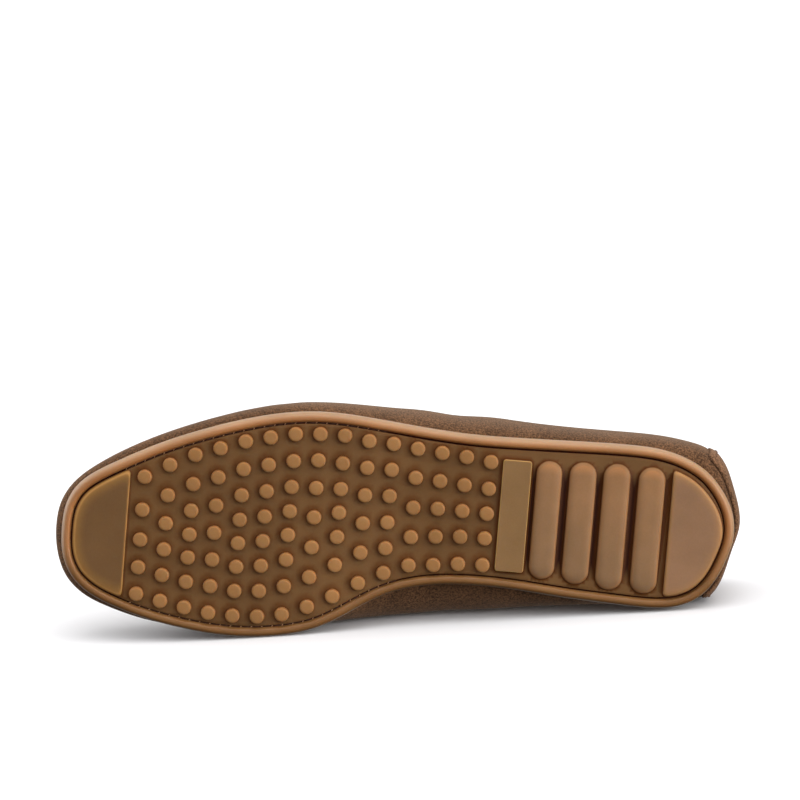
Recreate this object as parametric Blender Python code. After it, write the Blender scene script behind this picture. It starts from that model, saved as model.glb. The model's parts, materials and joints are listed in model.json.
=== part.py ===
"""Suede loafer with a pebble sole, left foot, lying on its inner side with the sole towards -Y.

The shoe is worked out standing: x runs from the back of the heel to the toe, y across to the outer
side and z up from the ground. It is then laid down on the facet of its hull that carries it.
"""

import math

import bmesh
import bpy
import numpy as np
from mathutils import Matrix, Vector
from mathutils.geometry import delaunay_2d_cdt, intersect_ray_tri

MM = 0.001

# Driving sizes
SOLE_LENGTH = 284 * MM
BALL_WIDTH = 95 * MM
INSTEP_HEIGHT = 73 * MM
HEEL_HEIGHT = 60 * MM
TOE_SPRING = 9 * MM
ARCH_RISE = 2.5 * MM
GAP = 0.3 * MM

# Bend of the sole, as shares of its length
ARCH_SPAN = (0.36, 0.62)
SPRING_FROM = 0.72

# Heights of the outsole above the ground
FIELD_LEVEL = 2.4 * MM
GROOVE_LEVEL = 4.0 * MM
SOLE_TOP = 8.0 * MM

# Edge of the outsole, inwards from its outline
BEAD_WIDTH = 4.4 * MM
BEAD_LEVEL = 1.2 * MM
BEAD_WAIST = 5.0 * MM
BEAD_STEPS = 5
BEAD_SWEEP = math.radians(160)
TOP_CHAMFER = 0.8 * MM
GROOVE_WIDTH = 1.1 * MM
GROOVE_DRAFT = 0.1 * MM
FIELD_INSET = BEAD_WIDTH + GROOVE_WIDTH

# Tread
STUD_RADIUS = 3.15 * MM
STUD_SIDES = 8
STUD_PITCH = 10.34 * MM
FIRST_STUD_STATION = 105 * MM
CORNER_STEPS = 4
TOE_PATCH_STATION = 255.9 * MM
TOE_PATCH_INSET = 6.0 * MM
TOE_PATCH_HEIGHT = 1.2 * MM
HEEL_PATCH_STATION = 28.2 * MM
HEEL_PATCH_INSET = 6.4 * MM
PATCH_STEPS = 18

# Upper, counter and insole
WALL = 2.0 * MM
LASTING_MARGIN = 5.0 * MM
REAR_APEX = 34 * MM
REAR_FAN = 45 * MM
TOE_APEX = 260 * MM
TOE_FAN = 222 * MM
THROAT = 166 * MM
APRON_HEIGHT = 1.5 * MM
APRON_ROW = 10
APRON_FADE = (1.72, 1.97)
COUNTER_THICKNESS = 1.2 * MM
COUNTER_GAP = 0.4 * MM
COUNTER_ROWS = (2, 8)
COUNTER_OUTER = (4, 0.35, 0.20)  # whole columns, then how much of the next at the lower and upper edge
COUNTER_INNER = (3, 0.98, 0.70)
INSOLE_THICKNESS = 2.5 * MM
INSOLE_LIFT = 0.6 * MM
INSOLE_INSET = 5.3 * MM
SECTIONS = 30
THROAT_SECTIONS = (0.520, 0.538, 0.567, 0.575, 0.580, THROAT / SOLE_LENGTH)

# Fineness of the working
ANGLE_STEP = 0.02
HALVINGS = 40
MITRE_LIMIT = 0.5
SLACK = 1e-7
SHARP_EDGE = math.radians(35)

# Densities for finding the centre of mass, in kilograms per cubic metre
RUBBER_DENSITY = 1150
SUEDE_DENSITY = 850
SOCK_DENSITY = 500

# Outline of the sole: station as a share of the length, reaches as shares of the ball width
SOLE_HEEL = (0.0, -0.011)
SOLE_TOE = (1.0, -0.235)
SOLE_OUTLINE = (
    # station, outer, inner
    (0.009, 0.114, 0.133),
    (0.024, 0.187, 0.232),
    (0.044, 0.251, 0.301),
    (0.072, 0.302, 0.347),
    (0.109, 0.337, 0.366),
    (0.162, 0.351, 0.364),
    (0.246, 0.348, 0.351),
    (0.335, 0.342, 0.331),
    (0.405, 0.342, 0.332),
    (0.461, 0.351, 0.356),
    (0.514, 0.366, 0.411),
    (0.563, 0.381, 0.499),
    (0.613, 0.389, 0.581),
    (0.669, 0.376, 0.625),
    (0.732, 0.334, 0.642),
    (0.803, 0.263, 0.628),
    (0.866, 0.183, 0.596),
    (0.915, 0.106, 0.556),
    (0.954, 0.037, 0.507),
    (0.979, -0.026, 0.446),
    (0.995, -0.111, 0.358),
)

# Widest line of the upper, in the same shares
UPPER_HEEL = (-0.0095, 0.021)
UPPER_TOE = (1.0127, -0.226)
UPPER_OUTLINE = (
    # station, outer, inner
    (-0.0020, 0.133, 0.082),
    (0.008, 0.212, 0.208),
    (0.016, 0.265, 0.268),
    (0.028, 0.313, 0.311),
    (0.041, 0.342, 0.328),
    (0.063, 0.362, 0.341),
    (0.102, 0.379, 0.361),
    (0.176, 0.385, 0.389),
    (0.282, 0.387, 0.429),
    (0.387, 0.398, 0.474),
    (0.458, 0.402, 0.505),
    (0.521, 0.408, 0.535),
    (0.581, 0.415, 0.563),
    (0.641, 0.412, 0.593),
    (0.711, 0.379, 0.621),
    (0.782, 0.315, 0.631),
    (0.852, 0.232, 0.625),
    (0.923, 0.122, 0.580),
    (0.961, 0.046, 0.537),
    (0.991, -0.037, 0.463),
    (1.007, -0.121, 0.363),
)

# Sections of the last: ridge as shares of the instep height and ball width, bellies as shares of the
# heel height above the sole, then how full the top is and how square each side tucks under
LAST_SECTIONS = (
    # station, ridge, across, outer belly, inner belly, fullness, outer tuck, inner tuck
    (0.120, 1.190, 0.000, 0.30, 0.29, 2.05, 3.0, 3.0),
    (0.210, 1.190, 0.000, 0.32, 0.29, 2.05, 3.0, 2.6),
    (0.352, 1.180, 0.000, 0.36, 0.28, 2.10, 2.6, 2.0),
    (0.458, 1.140, -0.020, 0.36, 0.27, 2.15, 2.5, 2.0),
    (0.528, 1.075, -0.050, 0.31, 0.25, 2.10, 2.6, 2.2),
    (0.592, 0.993, -0.084, 0.27, 0.23, 2.10, 2.8, 2.6),
    (0.651, 0.906, -0.116, 0.22, 0.20, 2.15, 3.0, 3.0),
    (0.722, 0.812, -0.153, 0.18, 0.17, 2.20, 3.0, 3.0),
    (0.792, 0.730, -0.184, 0.16, 0.15, 2.30, 3.0, 3.0),
    (0.863, 0.650, -0.210, 0.14, 0.14, 2.40, 3.0, 3.0),
    (0.915, 0.585, -0.226, 0.14, 0.14, 2.50, 3.0, 3.0),
)

# Edge of the collar seen from the side: height as a share of the heel height
TOPLINE = (
    # station, height
    (0.000, 1.000),
    (0.088, 0.950),
    (0.194, 0.875),
    (0.282, 0.858),
    (0.370, 0.900),
    (0.451, 0.990),
    (0.514, 1.092),
    (0.549, 1.160),
    (0.570, 1.200),
    (0.585, 1.217),
)

# Columns of studs from the waist to the toe: how many, how far the end ones stay inside the outline, how
# far the middle of the column bows to the outer side, and how far both halves are drawn together, in
# millimetres
STUD_COLUMNS = (
    # count, outer margin, inner margin, bow, gather
    (5, 10.6, 9.2, 0.0, 0.4),
    (5, 9.5, 9.1, -0.2, 0.4),
    (5, 9.2, 8.9, 0.1, 0.1),
    (5, 9.1, 10.2, -0.2, -0.2),
    (6, 8.9, 10.2, -0.3, -0.2),
    (6, 9.5, 11.3, 1.3, 0.1),
    (7, 8.8, 11.4, 1.5, 1.4),
    (7, 9.1, 10.8, 1.4, -0.4),
    (8, 9.1, 9.3, 0.6, 1.0),
    (8, 9.5, 9.0, -0.7, 0.5),
    (8, 9.4, 9.1, -1.2, 0.7),
    (7, 9.9, 9.1, -0.9, 0.2),
    (7, 9.8, 9.4, -1.4, 1.0),
    (6, 10.8, 9.6, -1.5, 0.4),
    (5, 11.9, 9.4, -1.8, 0.2),
)

# Bars under the heel, in millimetres, and the corner radius as a share of the bar's width: back, front,
# outer end, inner end, rounding
FLAT_BAR = (87.7, 99.9, 23.6, -23.9, 0.10)
ROUND_BARS = (
    # back, front, outer end, inner end, rounding
    (74.6, 85.6, 24.3, -26.0, 0.49),
    (60.1, 71.6, 24.9, -27.0, 0.49),
    (45.8, 57.3, 25.4, -28.7, 0.49),
    (31.0, 42.5, 25.1, -28.7, 0.49),
)

# Sections of each kind of tread: how far in from its foot, how far down towards the ground
STUD_SECTION = ((0.25 * MM, 1.7 * MM), (1.2 * MM, FIELD_LEVEL))
FLAT_SECTION = ((0.2 * MM, 2.0 * MM), (0.6 * MM, FIELD_LEVEL))
ROUND_SECTION = ((0.3 * MM, 1.0 * MM), (1.2 * MM, 1.9 * MM), (2.8 * MM, FIELD_LEVEL))
TOE_SECTION = ((1.6 * MM, TOE_PATCH_HEIGHT),)

# Rows of the upper's wall from its foot: shares of the tuck below the belly, then of the side above
TUCK_ROWS = (0.0, 0.18, 0.42, 0.64, 0.83)
SIDE_ROWS = (0.0, 0.16, 0.31, 0.45, 0.57, 0.61, 0.65, 0.82, 1.0)


def closed_spline(points, samples):
    """Points along the smooth closed curve through the given ones."""
    knots = np.array(points)
    count = len(knots)
    after = np.roll(knots, -1, axis=0) - knots
    span = np.linalg.norm(after, axis=1)
    slope = after / span[:, None]
    system = np.zeros((count, count))
    for i in range(count):
        system[i, i - 1] = span[i - 1]
        system[i, i] = 2 * (span[i - 1] + span[i])
        system[i, (i + 1) % count] = span[i]
    bend = np.linalg.solve(system, 6 * (slope - np.roll(slope, 1, axis=0)))
    starts = np.concatenate([[0], np.cumsum(span)])
    along = np.linspace(0, starts[-1], samples, endpoint=False)
    piece = np.searchsorted(starts, along, side="right") - 1
    ahead = (along - starts[piece])[:, None]
    left = span[piece][:, None] - ahead
    near, far = bend[piece], bend[(piece + 1) % count]
    width = span[piece][:, None]
    arch = (near * left**3 + far * ahead**3) / (6 * width)
    start = (knots[piece] / width - near * width / 6) * left
    end = (knots[(piece + 1) % count] / width - far * width / 6) * ahead
    return arch + start + end


class Plan:
    """A closed outline seen from above, found by the angle that runs from the heel by the outer side."""

    def __init__(self, heel, rows, toe, samples=2400):
        outer = [(station, reach) for station, reach, _ in rows]
        inner = [(station, -reach) for station, _, reach in reversed(rows)]
        shares = np.array([heel, *outer, toe, *inner])
        curve = closed_spline(shares * (SOLE_LENGTH, BALL_WIDTH), samples)
        curve = np.roll(curve, -int(curve[:, 0].argmin()), axis=0)
        tip = int(curve[:, 0].argmax())
        self.back = curve[0, 0]
        self.length = curve[tip, 0] - self.back
        angle = np.arccos(1 - 2 * (curve[:, 0] - self.back) / self.length)
        angle[tip + 1 :] = 2 * math.pi - angle[tip + 1 :]
        self.angle, self.curve = angle, curve

    def point(self, angle, inset=0.0):
        """The point at an angle, moved in from the outline."""
        x, y = self._at(angle)
        if not inset:
            return np.array((x, y))
        behind, ahead = self._at(angle - ANGLE_STEP), self._at(angle + ANGLE_STEP)
        along = (ahead - behind) / np.linalg.norm(ahead - behind)
        return np.array((x + along[1] * inset, y - along[0] * inset))

    def reach(self, station, side):
        """How far the outline goes out at a station, on side 1 (outer) or -1 (inner)."""
        angle = math.acos(1 - 2 * (station - self.back) / self.length)
        return side * self._at(side * angle)[1]

    def _at(self, angle):
        turn = angle % (2 * math.pi)
        return np.array([np.interp(turn, self.angle, self.curve[:, k], period=2 * math.pi) for k in (0, 1)])


def smooth_column(rows, column, station):
    """A column of a table at any station, through a cubic with the table's own slopes."""
    table = np.array(rows)
    x, y = table[:, 0], table[:, column]
    slopes = np.gradient(y, x)
    at = min(max(station, x[0]), x[-1])
    i = min(int(np.searchsorted(x, at, side="right")) - 1, len(x) - 2)
    width = x[i + 1] - x[i]
    t = (at - x[i]) / width
    start = y[i] * (1 + 2 * t) * (1 - t) ** 2 + slopes[i] * width * t * (1 - t) ** 2
    end = y[i + 1] * t * t * (3 - 2 * t) + slopes[i + 1] * width * t * t * (t - 1)
    return start + end


def ground_rise(station):
    """How far the sole bends up from the ground: a low arch at the waist and the spring of the toe."""
    share = station / SOLE_LENGTH
    arch_from, arch_to = ARCH_SPAN
    rise = 0.0
    if arch_from < share < arch_to:
        rise += ARCH_RISE * math.sin(math.pi * (share - arch_from) / (arch_to - arch_from)) ** 2
    if share > SPRING_FROM:
        rise += TOE_SPRING * ((share - SPRING_FROM) / (1 - SPRING_FROM)) ** 2
    return rise


def raised(point, level):
    """A plan point at a level of the sole, bent up with it."""
    return Vector((point[0], point[1], level + ground_rise(point[0])))


SOLE_PLAN = Plan(SOLE_HEEL, SOLE_OUTLINE, SOLE_TOE)
UPPER_PLAN = Plan(UPPER_HEEL, UPPER_OUTLINE, UPPER_TOE)


class Rib:
    """One rib of the last: out from the sole's edge, round the belly and in to the ridge."""

    def __init__(self, angle):
        side = 1 if math.sin(angle) >= 0 else -1
        self.foot = Vector((*SOLE_PLAN.point(angle, LASTING_MARGIN), SOLE_TOP + GAP))
        belly = UPPER_PLAN.point(angle)
        self.apex_station = self._apex(belly[0])
        share = self.apex_station / SOLE_LENGTH
        blend = 0.5 + 0.5 * math.sin(angle)
        outer, inner = (smooth_column(LAST_SECTIONS, column, share) for column in (3, 4))
        rise = (inner + (outer - inner) * blend) * HEEL_HEIGHT
        self.belly = Vector((*belly, SOLE_TOP + rise))
        across = smooth_column(LAST_SECTIONS, 2, share) * BALL_WIDTH
        self.apex = Vector((self.apex_station, across, self._ridge(share)))
        step = 0.01
        self.slope = (self._ridge(share + step) - self._ridge(share - step)) / (2 * step * SOLE_LENGTH)
        self.fullness = smooth_column(LAST_SECTIONS, 5, share)
        self.tuck = smooth_column(LAST_SECTIONS, 6 if side > 0 else 7, share)
        self.top = self._top()

    def point(self, way):
        """The point at a way along the rib: 0 at the foot, 1 at the belly, 2 on the ridge."""
        if way <= 1:
            turn = way * math.pi / 2
            out = math.sin(turn) ** (2 / self.tuck)
            up = 1 - max(math.cos(turn), 0) ** (2 / self.tuck)
            flat = self.foot.lerp(self.belly, out)
            return raised(flat, self.foot.z + (self.belly.z - self.foot.z) * up)
        turn = (way - 1) * math.pi / 2
        out = 1 - max(math.cos(turn), 0) ** (2 / self.fullness)
        up = math.sin(turn) ** (2 / self.fullness)
        start = raised(self.belly, self.belly.z)
        flat = start.lerp(self.apex, out)
        lean = self.slope * (flat.x - self.apex.x) * math.sin(turn) ** 2
        return Vector((flat.x, flat.y, start.z + (self.apex.z - start.z) * up + lean))

    def _apex(self, station):
        """Station of the ridge that a rib runs to: straight across, but fanned round heel and toe."""
        if station > TOE_FAN:
            reach, room = UPPER_PLAN.back + UPPER_PLAN.length - TOE_FAN, TOE_APEX - TOE_FAN
            left = max(1 - (station - TOE_FAN) / reach, 0)
            return TOE_FAN + room * (1 - left ** (reach / room))
        if station < REAR_FAN:
            reach, room = REAR_FAN - UPPER_PLAN.back, REAR_FAN - REAR_APEX
            left = max(1 - (REAR_FAN - station) / reach, 0)
            return REAR_FAN - room * (1 - left ** (reach / room))
        return station

    def _ridge(self, share):
        return smooth_column(LAST_SECTIONS, 1, share) * INSTEP_HEIGHT

    def _top(self):
        """Where the rib ends: on the ridge in front of the throat, else at the collar's edge."""
        if self.apex_station >= THROAT - SLACK:
            return 2.0
        low, high = 1.0, 2.0
        for _ in range(HALVINGS):
            way = (low + high) / 2
            point = self.point(way)
            edge = smooth_column(TOPLINE, 1, point.x / SOLE_LENGTH) * HEEL_HEIGHT
            low, high = (low, way) if point.z > edge else (way, high)
        return low


def shrunk(loop, inset):
    """A closed loop of plan points, run anticlockwise, moved in by an even distance."""
    points = np.array(loop)
    after = np.roll(points, -1, axis=0) - points
    after /= np.linalg.norm(after, axis=1)[:, None]
    left = np.column_stack([-after[:, 1], after[:, 0]])
    both = left + np.roll(left, 1, axis=0)
    both /= np.linalg.norm(both, axis=1)[:, None]
    return points + both * inset / np.maximum((both * left).sum(axis=1), MITRE_LIMIT)[:, None]


def stud_loops():
    """Outlines of the studs, column by column from the waist to the toe."""
    loops = []
    corners = [2 * math.pi * (k + 0.5) / STUD_SIDES for k in range(STUD_SIDES)]
    for number, (count, outer_margin, inner_margin, bow, gather) in enumerate(STUD_COLUMNS):
        x = FIRST_STUD_STATION + number * STUD_PITCH
        first = SOLE_PLAN.reach(x, 1) - outer_margin * MM
        last = inner_margin * MM - SOLE_PLAN.reach(x, -1)
        for share in np.linspace(0, 1, count):
            shift = bow * 4 * share * (1 - share) - gather * math.sin(2 * math.pi * share)
            y = first + (last - first) * share + shift * MM
            loops.append([(x + STUD_RADIUS * math.cos(a), y + STUD_RADIUS * math.sin(a)) for a in corners])
    return loops


def bar_loop(back, front, outer_end, inner_end, rounding):
    """Outline of one bar: a rectangle with rounded corners."""
    radius = rounding * (front - back) * MM
    corners = (
        (front, outer_end, -1, -1, 0),
        (back, outer_end, 1, -1, 1),
        (back, inner_end, 1, 1, 2),
        (front, inner_end, -1, 1, 3),
    )
    loop = []
    for x, y, to_x, to_y, quarter in corners:
        for k in range(CORNER_STEPS + 1):
            turn = (quarter + k / CORNER_STEPS) * math.pi / 2
            centre_x, centre_y = x * MM + to_x * radius, y * MM + to_y * radius
            loop.append((centre_x + radius * math.cos(turn), centre_y + radius * math.sin(turn)))
    return loop


def patch_loop(station, inset, middle):
    """Outline of an end patch: the sole's own curve about the middle angle, cut off at a station."""

    def beyond(turn):
        return (SOLE_PLAN.point(middle + turn, inset)[0] - station) * math.cos(middle)

    ends = []
    for side in (-1, 1):
        low, high = 0.0, math.pi / 2
        for _ in range(HALVINGS):
            turn = (low + high) / 2
            low, high = (turn, high) if beyond(side * turn) < 0 else (low, turn)
        ends.append(side * low)
    turns = np.linspace(ends[1], ends[0], PATCH_STEPS)
    return [tuple(SOLE_PLAN.point(middle + turn, inset)) for turn in turns]


def edge_section():
    """Section of the sole's edge from the top face round the bead and groove: inset and level."""
    section = [(TOP_CHAMFER, SOLE_TOP), (0.0, SOLE_TOP - TOP_CHAMFER)]
    half = BEAD_WIDTH / 2
    for k in range(BEAD_STEPS + 1):
        turn = BEAD_SWEEP * k / BEAD_STEPS
        level = BEAD_WAIST - (BEAD_WAIST - BEAD_LEVEL) * math.sin(turn)
        section.append((half - half * math.cos(turn), level))
    section.append((BEAD_WIDTH, GROOVE_LEVEL))
    section.append((FIELD_INSET - GROOVE_DRAFT, GROOVE_LEVEL))
    section.append((FIELD_INSET, FIELD_LEVEL))
    return section


def bridge(bm, first, second):
    """Quads between two closed rows of vertices."""
    for k in range(len(first)):
        after = (k + 1) % len(first)
        bm.faces.new((first[k], first[after], second[after], second[k]))


def ladder(bm, ring):
    """Faces across a ring that starts at the heel, one rung for each pair of sides."""
    half = len(ring) // 2
    for k in range(half):
        corners = [ring[k], ring[k + 1], ring[-k - 1], ring[-k]]
        bm.faces.new(list(dict.fromkeys(corners)))


def ring_angles():
    """Angles round the shoe from the back of the heel, closer where the outline turns."""
    return [2 * math.pi * k / (2 * SECTIONS) for k in range(2 * SECTIONS)]


def add_tread(bm, loop, section):
    """One piece of tread standing on the field: returns the vertices of its foot."""
    foot = [bm.verts.new(raised(point, FIELD_LEVEL)) for point in loop]
    row = foot
    for inset, height in section:
        above = [bm.verts.new(raised(point, FIELD_LEVEL - height)) for point in shrunk(loop, inset)]
        bridge(bm, row, above)
        row = above
    bm.faces.new(row)
    return foot


def make_outsole():
    """The moulded sole: edge, top face, and the field filled in between the pieces of tread."""
    bm = bmesh.new()
    angles = ring_angles()
    rows = []
    for inset, level in edge_section():
        rows.append([bm.verts.new(raised(SOLE_PLAN.point(angle, inset), level)) for angle in angles])
    for upper_row, lower_row in zip(rows, rows[1:]):
        bridge(bm, upper_row, lower_row)
    ladder(bm, rows[0])

    feet = [add_tread(bm, loop, STUD_SECTION) for loop in stud_loops()]
    feet.append(add_tread(bm, bar_loop(*FLAT_BAR), FLAT_SECTION))
    feet += [add_tread(bm, bar_loop(*bar), ROUND_SECTION) for bar in ROUND_BARS]
    feet.append(add_tread(bm, patch_loop(HEEL_PATCH_STATION, HEEL_PATCH_INSET, 0.0), FLAT_SECTION))
    feet.append(add_tread(bm, patch_loop(TOE_PATCH_STATION, TOE_PATCH_INSET, math.pi), TOE_SECTION))

    verts, edges, owner = [], [], []
    for number, loop in enumerate([rows[-1], *feet]):
        start = len(verts)
        verts += loop
        owner += [number] * len(loop)
        edges += [(start + k, start + (k + 1) % len(loop)) for k in range(len(loop))]
    flat = [vert.co.to_2d() for vert in verts]
    found = delaunay_2d_cdt(flat, edges, [], 1, SLACK)
    faces, sources = found[2], found[3]
    for face in faces:
        corners = [sources[k][0] for k in face]
        owners = {owner[k] for k in corners}
        if len(owners) == 1 and owners != {0}:
            continue
        bm.faces.new([verts[k] for k in corners])
    return finish_mesh(bm, "outsole")


def wall_grid():
    """Angles of the upper's ribs and the points up each, from the foot to the ridge or the collar."""
    angles = ring_angles()
    for share in THROAT_SECTIONS:
        turn = math.acos(1 - 2 * (share * SOLE_LENGTH - UPPER_PLAN.back) / UPPER_PLAN.length)
        angles += [turn, 2 * math.pi - turn]
    angles.sort()
    grid = []
    for angle in angles:
        rib = Rib(angle)
        ways = [*TUCK_ROWS, *(1 + share * (rib.top - 1) for share in SIDE_ROWS)]
        grid.append((rib, [rib.point(way) for way in ways]))
    return grid


def make_upper():
    """The hollow upper: its outer face as ribs and rows, a raised apron seam, and a wall inwards."""
    grid = wall_grid()
    bm = bmesh.new()
    count = len(grid)
    columns = []
    for number, (rib, points) in enumerate(grid):
        column = [bm.verts.new(point) for point in points]
        closed = rib.top == 2.0
        twin = count - number
        if closed and twin < number:
            bm.verts.remove(column[-1])
            column[-1] = columns[twin][-1]
        columns.append(column)
    for number, column in enumerate(columns):
        after = columns[(number + 1) % count]
        for row in range(len(column) - 1):
            corners = (column[row], column[row + 1], after[row + 1], after[row])
            bm.faces.new(list(dict.fromkeys(corners)))
    bmesh.ops.recalc_face_normals(bm, faces=bm.faces)
    bm.normal_update()
    normals = [[vert.normal.copy() for vert in column] for column in columns]
    fade_from, fade_to = APRON_FADE
    for (rib, _), column, normal in zip(grid, columns, normals):
        fade = min(max((rib.top - fade_from) / (fade_to - fade_from), 0), 1)
        column[APRON_ROW].co += normal[APRON_ROW] * APRON_HEIGHT * fade
    upper = finish_mesh(bm, "upper")
    add_wall(upper, WALL, -1)
    return upper, [points for _, points in grid], normals


def make_heel_counter(points, normals):
    """The overlay round the heel: the upper's own face there, moved out by the gap and thickened."""
    bm = bmesh.new()
    low, high = COUNTER_ROWS
    inner_columns, *inner_front = COUNTER_INNER
    outer_columns, *outer_front = COUNTER_OUTER
    inside = range(-inner_columns, outer_columns + 1)
    rows = []
    for row in range(low, high + 1):
        line = []
        for column in (-inner_columns - 1, *inside, outer_columns + 1):
            at, normal = points[column][row], normals[column][row]
            if column not in inside:
                bottom, top = outer_front if column > 0 else inner_front
                narrow = bottom + (top - bottom) * (row - low) / (high - low)
                nearer = column - (1 if column > 0 else -1)
                at = points[nearer][row].lerp(at, narrow)
                normal = normals[nearer][row].lerp(normal, narrow).normalized()
            line.append(bm.verts.new(at + normal * COUNTER_GAP))
        rows.append(line)
    for below, above in zip(rows, rows[1:]):
        for k in range(len(below) - 1):
            bm.faces.new((below[k], above[k], above[k + 1], below[k + 1]))
    counter = finish_mesh(bm, "heel_counter", keep_winding=True)
    add_wall(counter, COUNTER_THICKNESS, 1)
    return counter


def make_insole():
    """The sock inside, on the upper's tucked margin."""
    bm = bmesh.new()
    angles = ring_angles()
    bottom_level = SOLE_TOP + GAP + WALL + INSOLE_LIFT
    rows = []
    for level in (bottom_level, bottom_level + INSOLE_THICKNESS):
        rows.append([bm.verts.new(raised(SOLE_PLAN.point(angle, INSOLE_INSET), level)) for angle in angles])
    bridge(bm, *rows)
    ladder(bm, rows[0])
    ladder(bm, rows[1])
    return finish_mesh(bm, "insole")


def finish_mesh(bm, name, keep_winding=False):
    """An object in the scene from a mesh under construction, smooth except at its edges."""
    if not keep_winding:
        bmesh.ops.recalc_face_normals(bm, faces=bm.faces)
    mesh = bpy.data.meshes.new(name)
    bm.to_mesh(mesh)
    bm.free()
    mesh.shade_smooth()
    mesh.set_sharp_from_angle(angle=SHARP_EDGE)
    part = bpy.data.objects.new(name, mesh)
    bpy.context.scene.collection.objects.link(part)
    return part


def add_wall(part, thickness, side):
    """Gives an open surface its thickness, inwards (-1) or outwards (1)."""
    wall = part.modifiers.new("Wall", "SOLIDIFY")
    wall.thickness = thickness
    wall.offset = side
    wall.use_even_offset = True


def give_material(part, name, colour, roughness):
    """A plain Principled finish."""
    material = bpy.data.materials.new(name)
    material.use_nodes = True
    shader = material.node_tree.nodes["Principled BSDF"]
    shader.inputs["Base Color"].default_value = (*colour, 1.0)
    shader.inputs["Roughness"].default_value = roughness
    shader.inputs["Metallic"].default_value = 0.0
    part.data.materials.append(material)


def centre_of_mass(parts):
    """The centre of mass of the parts, each with its density, and the points of their meshes."""
    graph = bpy.context.evaluated_depsgraph_get()
    moment, mass, points = Vector(), 0.0, []
    for part, density in parts:
        mesh = part.evaluated_get(graph).to_mesh()
        mesh.calc_loop_triangles()
        points += [vert.co.copy() for vert in mesh.vertices]
        for triangle in mesh.loop_triangles:
            a, b, c = (mesh.vertices[k].co for k in triangle.vertices)
            weight = density * a.dot(b.cross(c)) / 6
            moment += weight * (a + b + c) / 4
            mass += weight
    return moment / mass, points


def laid_on_side(parts):
    """Where the shoe comes to rest on its inner side: the hull's facet below the centre of mass."""
    centre, points = centre_of_mass(parts)
    hull = bmesh.new()
    for point in points:
        hull.verts.new(point)
    bmesh.ops.convex_hull(hull, input=hull.verts)
    hull.normal_update()
    inwards = Vector((0, -1, 0))
    up = None
    for face in hull.faces:
        corners = [vert.co for vert in face.verts]
        if face.normal.y < 0 and intersect_ray_tri(*corners[:3], inwards, centre):
            up = -face.normal
    hull.free()
    toe = Vector((1, 0, 0))
    toe = (toe - up * toe.dot(up)).normalized()
    turn = Matrix((-toe, up.cross(-toe), up))
    laid = np.array([turn @ point for point in points])
    low, high = laid.min(axis=0), laid.max(axis=0)
    base = Vector(((low[0] + high[0]) / 2, (low[1] + high[1]) / 2, low[2]))
    return Matrix.Translation(-base) @ turn.to_4x4()


def main():
    for old in list(bpy.data.objects):
        bpy.data.objects.remove(old)
    outsole = make_outsole()
    upper, points, normals = make_upper()
    counter = make_heel_counter(points, normals)
    insole = make_insole()
    give_material(outsole, "gum rubber", (0.42, 0.22, 0.09), 0.55)
    give_material(upper, "brown suede", (0.16, 0.10, 0.065), 0.95)
    give_material(counter, "counter suede", (0.15, 0.095, 0.06), 0.95)
    give_material(insole, "tan sock", (0.40, 0.25, 0.14), 0.7)

    carrier = bpy.data.objects.new("loafer", None)
    bpy.context.scene.collection.objects.link(carrier)
    parts = (
        (outsole, RUBBER_DENSITY),
        (upper, SUEDE_DENSITY),
        (counter, SUEDE_DENSITY),
        (insole, SOCK_DENSITY),
    )
    carrier.matrix_world = laid_on_side(parts)
    for part, _ in parts:
        part.parent = carrier


main()
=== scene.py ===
import json
import math

import bmesh
import bpy
import numpy as np
from mathutils import Euler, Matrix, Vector
from mathutils.bvhtree import BVHTree
from mathutils.geometry import delaunay_2d_cdt


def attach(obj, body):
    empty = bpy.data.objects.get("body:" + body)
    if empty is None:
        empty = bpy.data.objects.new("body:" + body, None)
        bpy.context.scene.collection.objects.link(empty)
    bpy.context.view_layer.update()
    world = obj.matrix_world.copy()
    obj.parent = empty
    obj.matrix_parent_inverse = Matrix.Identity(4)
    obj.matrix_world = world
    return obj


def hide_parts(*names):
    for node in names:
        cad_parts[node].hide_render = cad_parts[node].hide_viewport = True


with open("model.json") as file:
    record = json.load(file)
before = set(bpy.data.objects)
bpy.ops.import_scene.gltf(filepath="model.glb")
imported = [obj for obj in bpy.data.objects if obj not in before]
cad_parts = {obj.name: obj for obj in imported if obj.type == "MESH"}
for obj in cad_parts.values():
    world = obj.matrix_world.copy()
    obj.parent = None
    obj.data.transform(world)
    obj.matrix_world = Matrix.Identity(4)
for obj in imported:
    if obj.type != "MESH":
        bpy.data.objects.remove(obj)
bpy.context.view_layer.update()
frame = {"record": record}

mm = 0.001
fullTurn = 2 * math.pi

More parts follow.
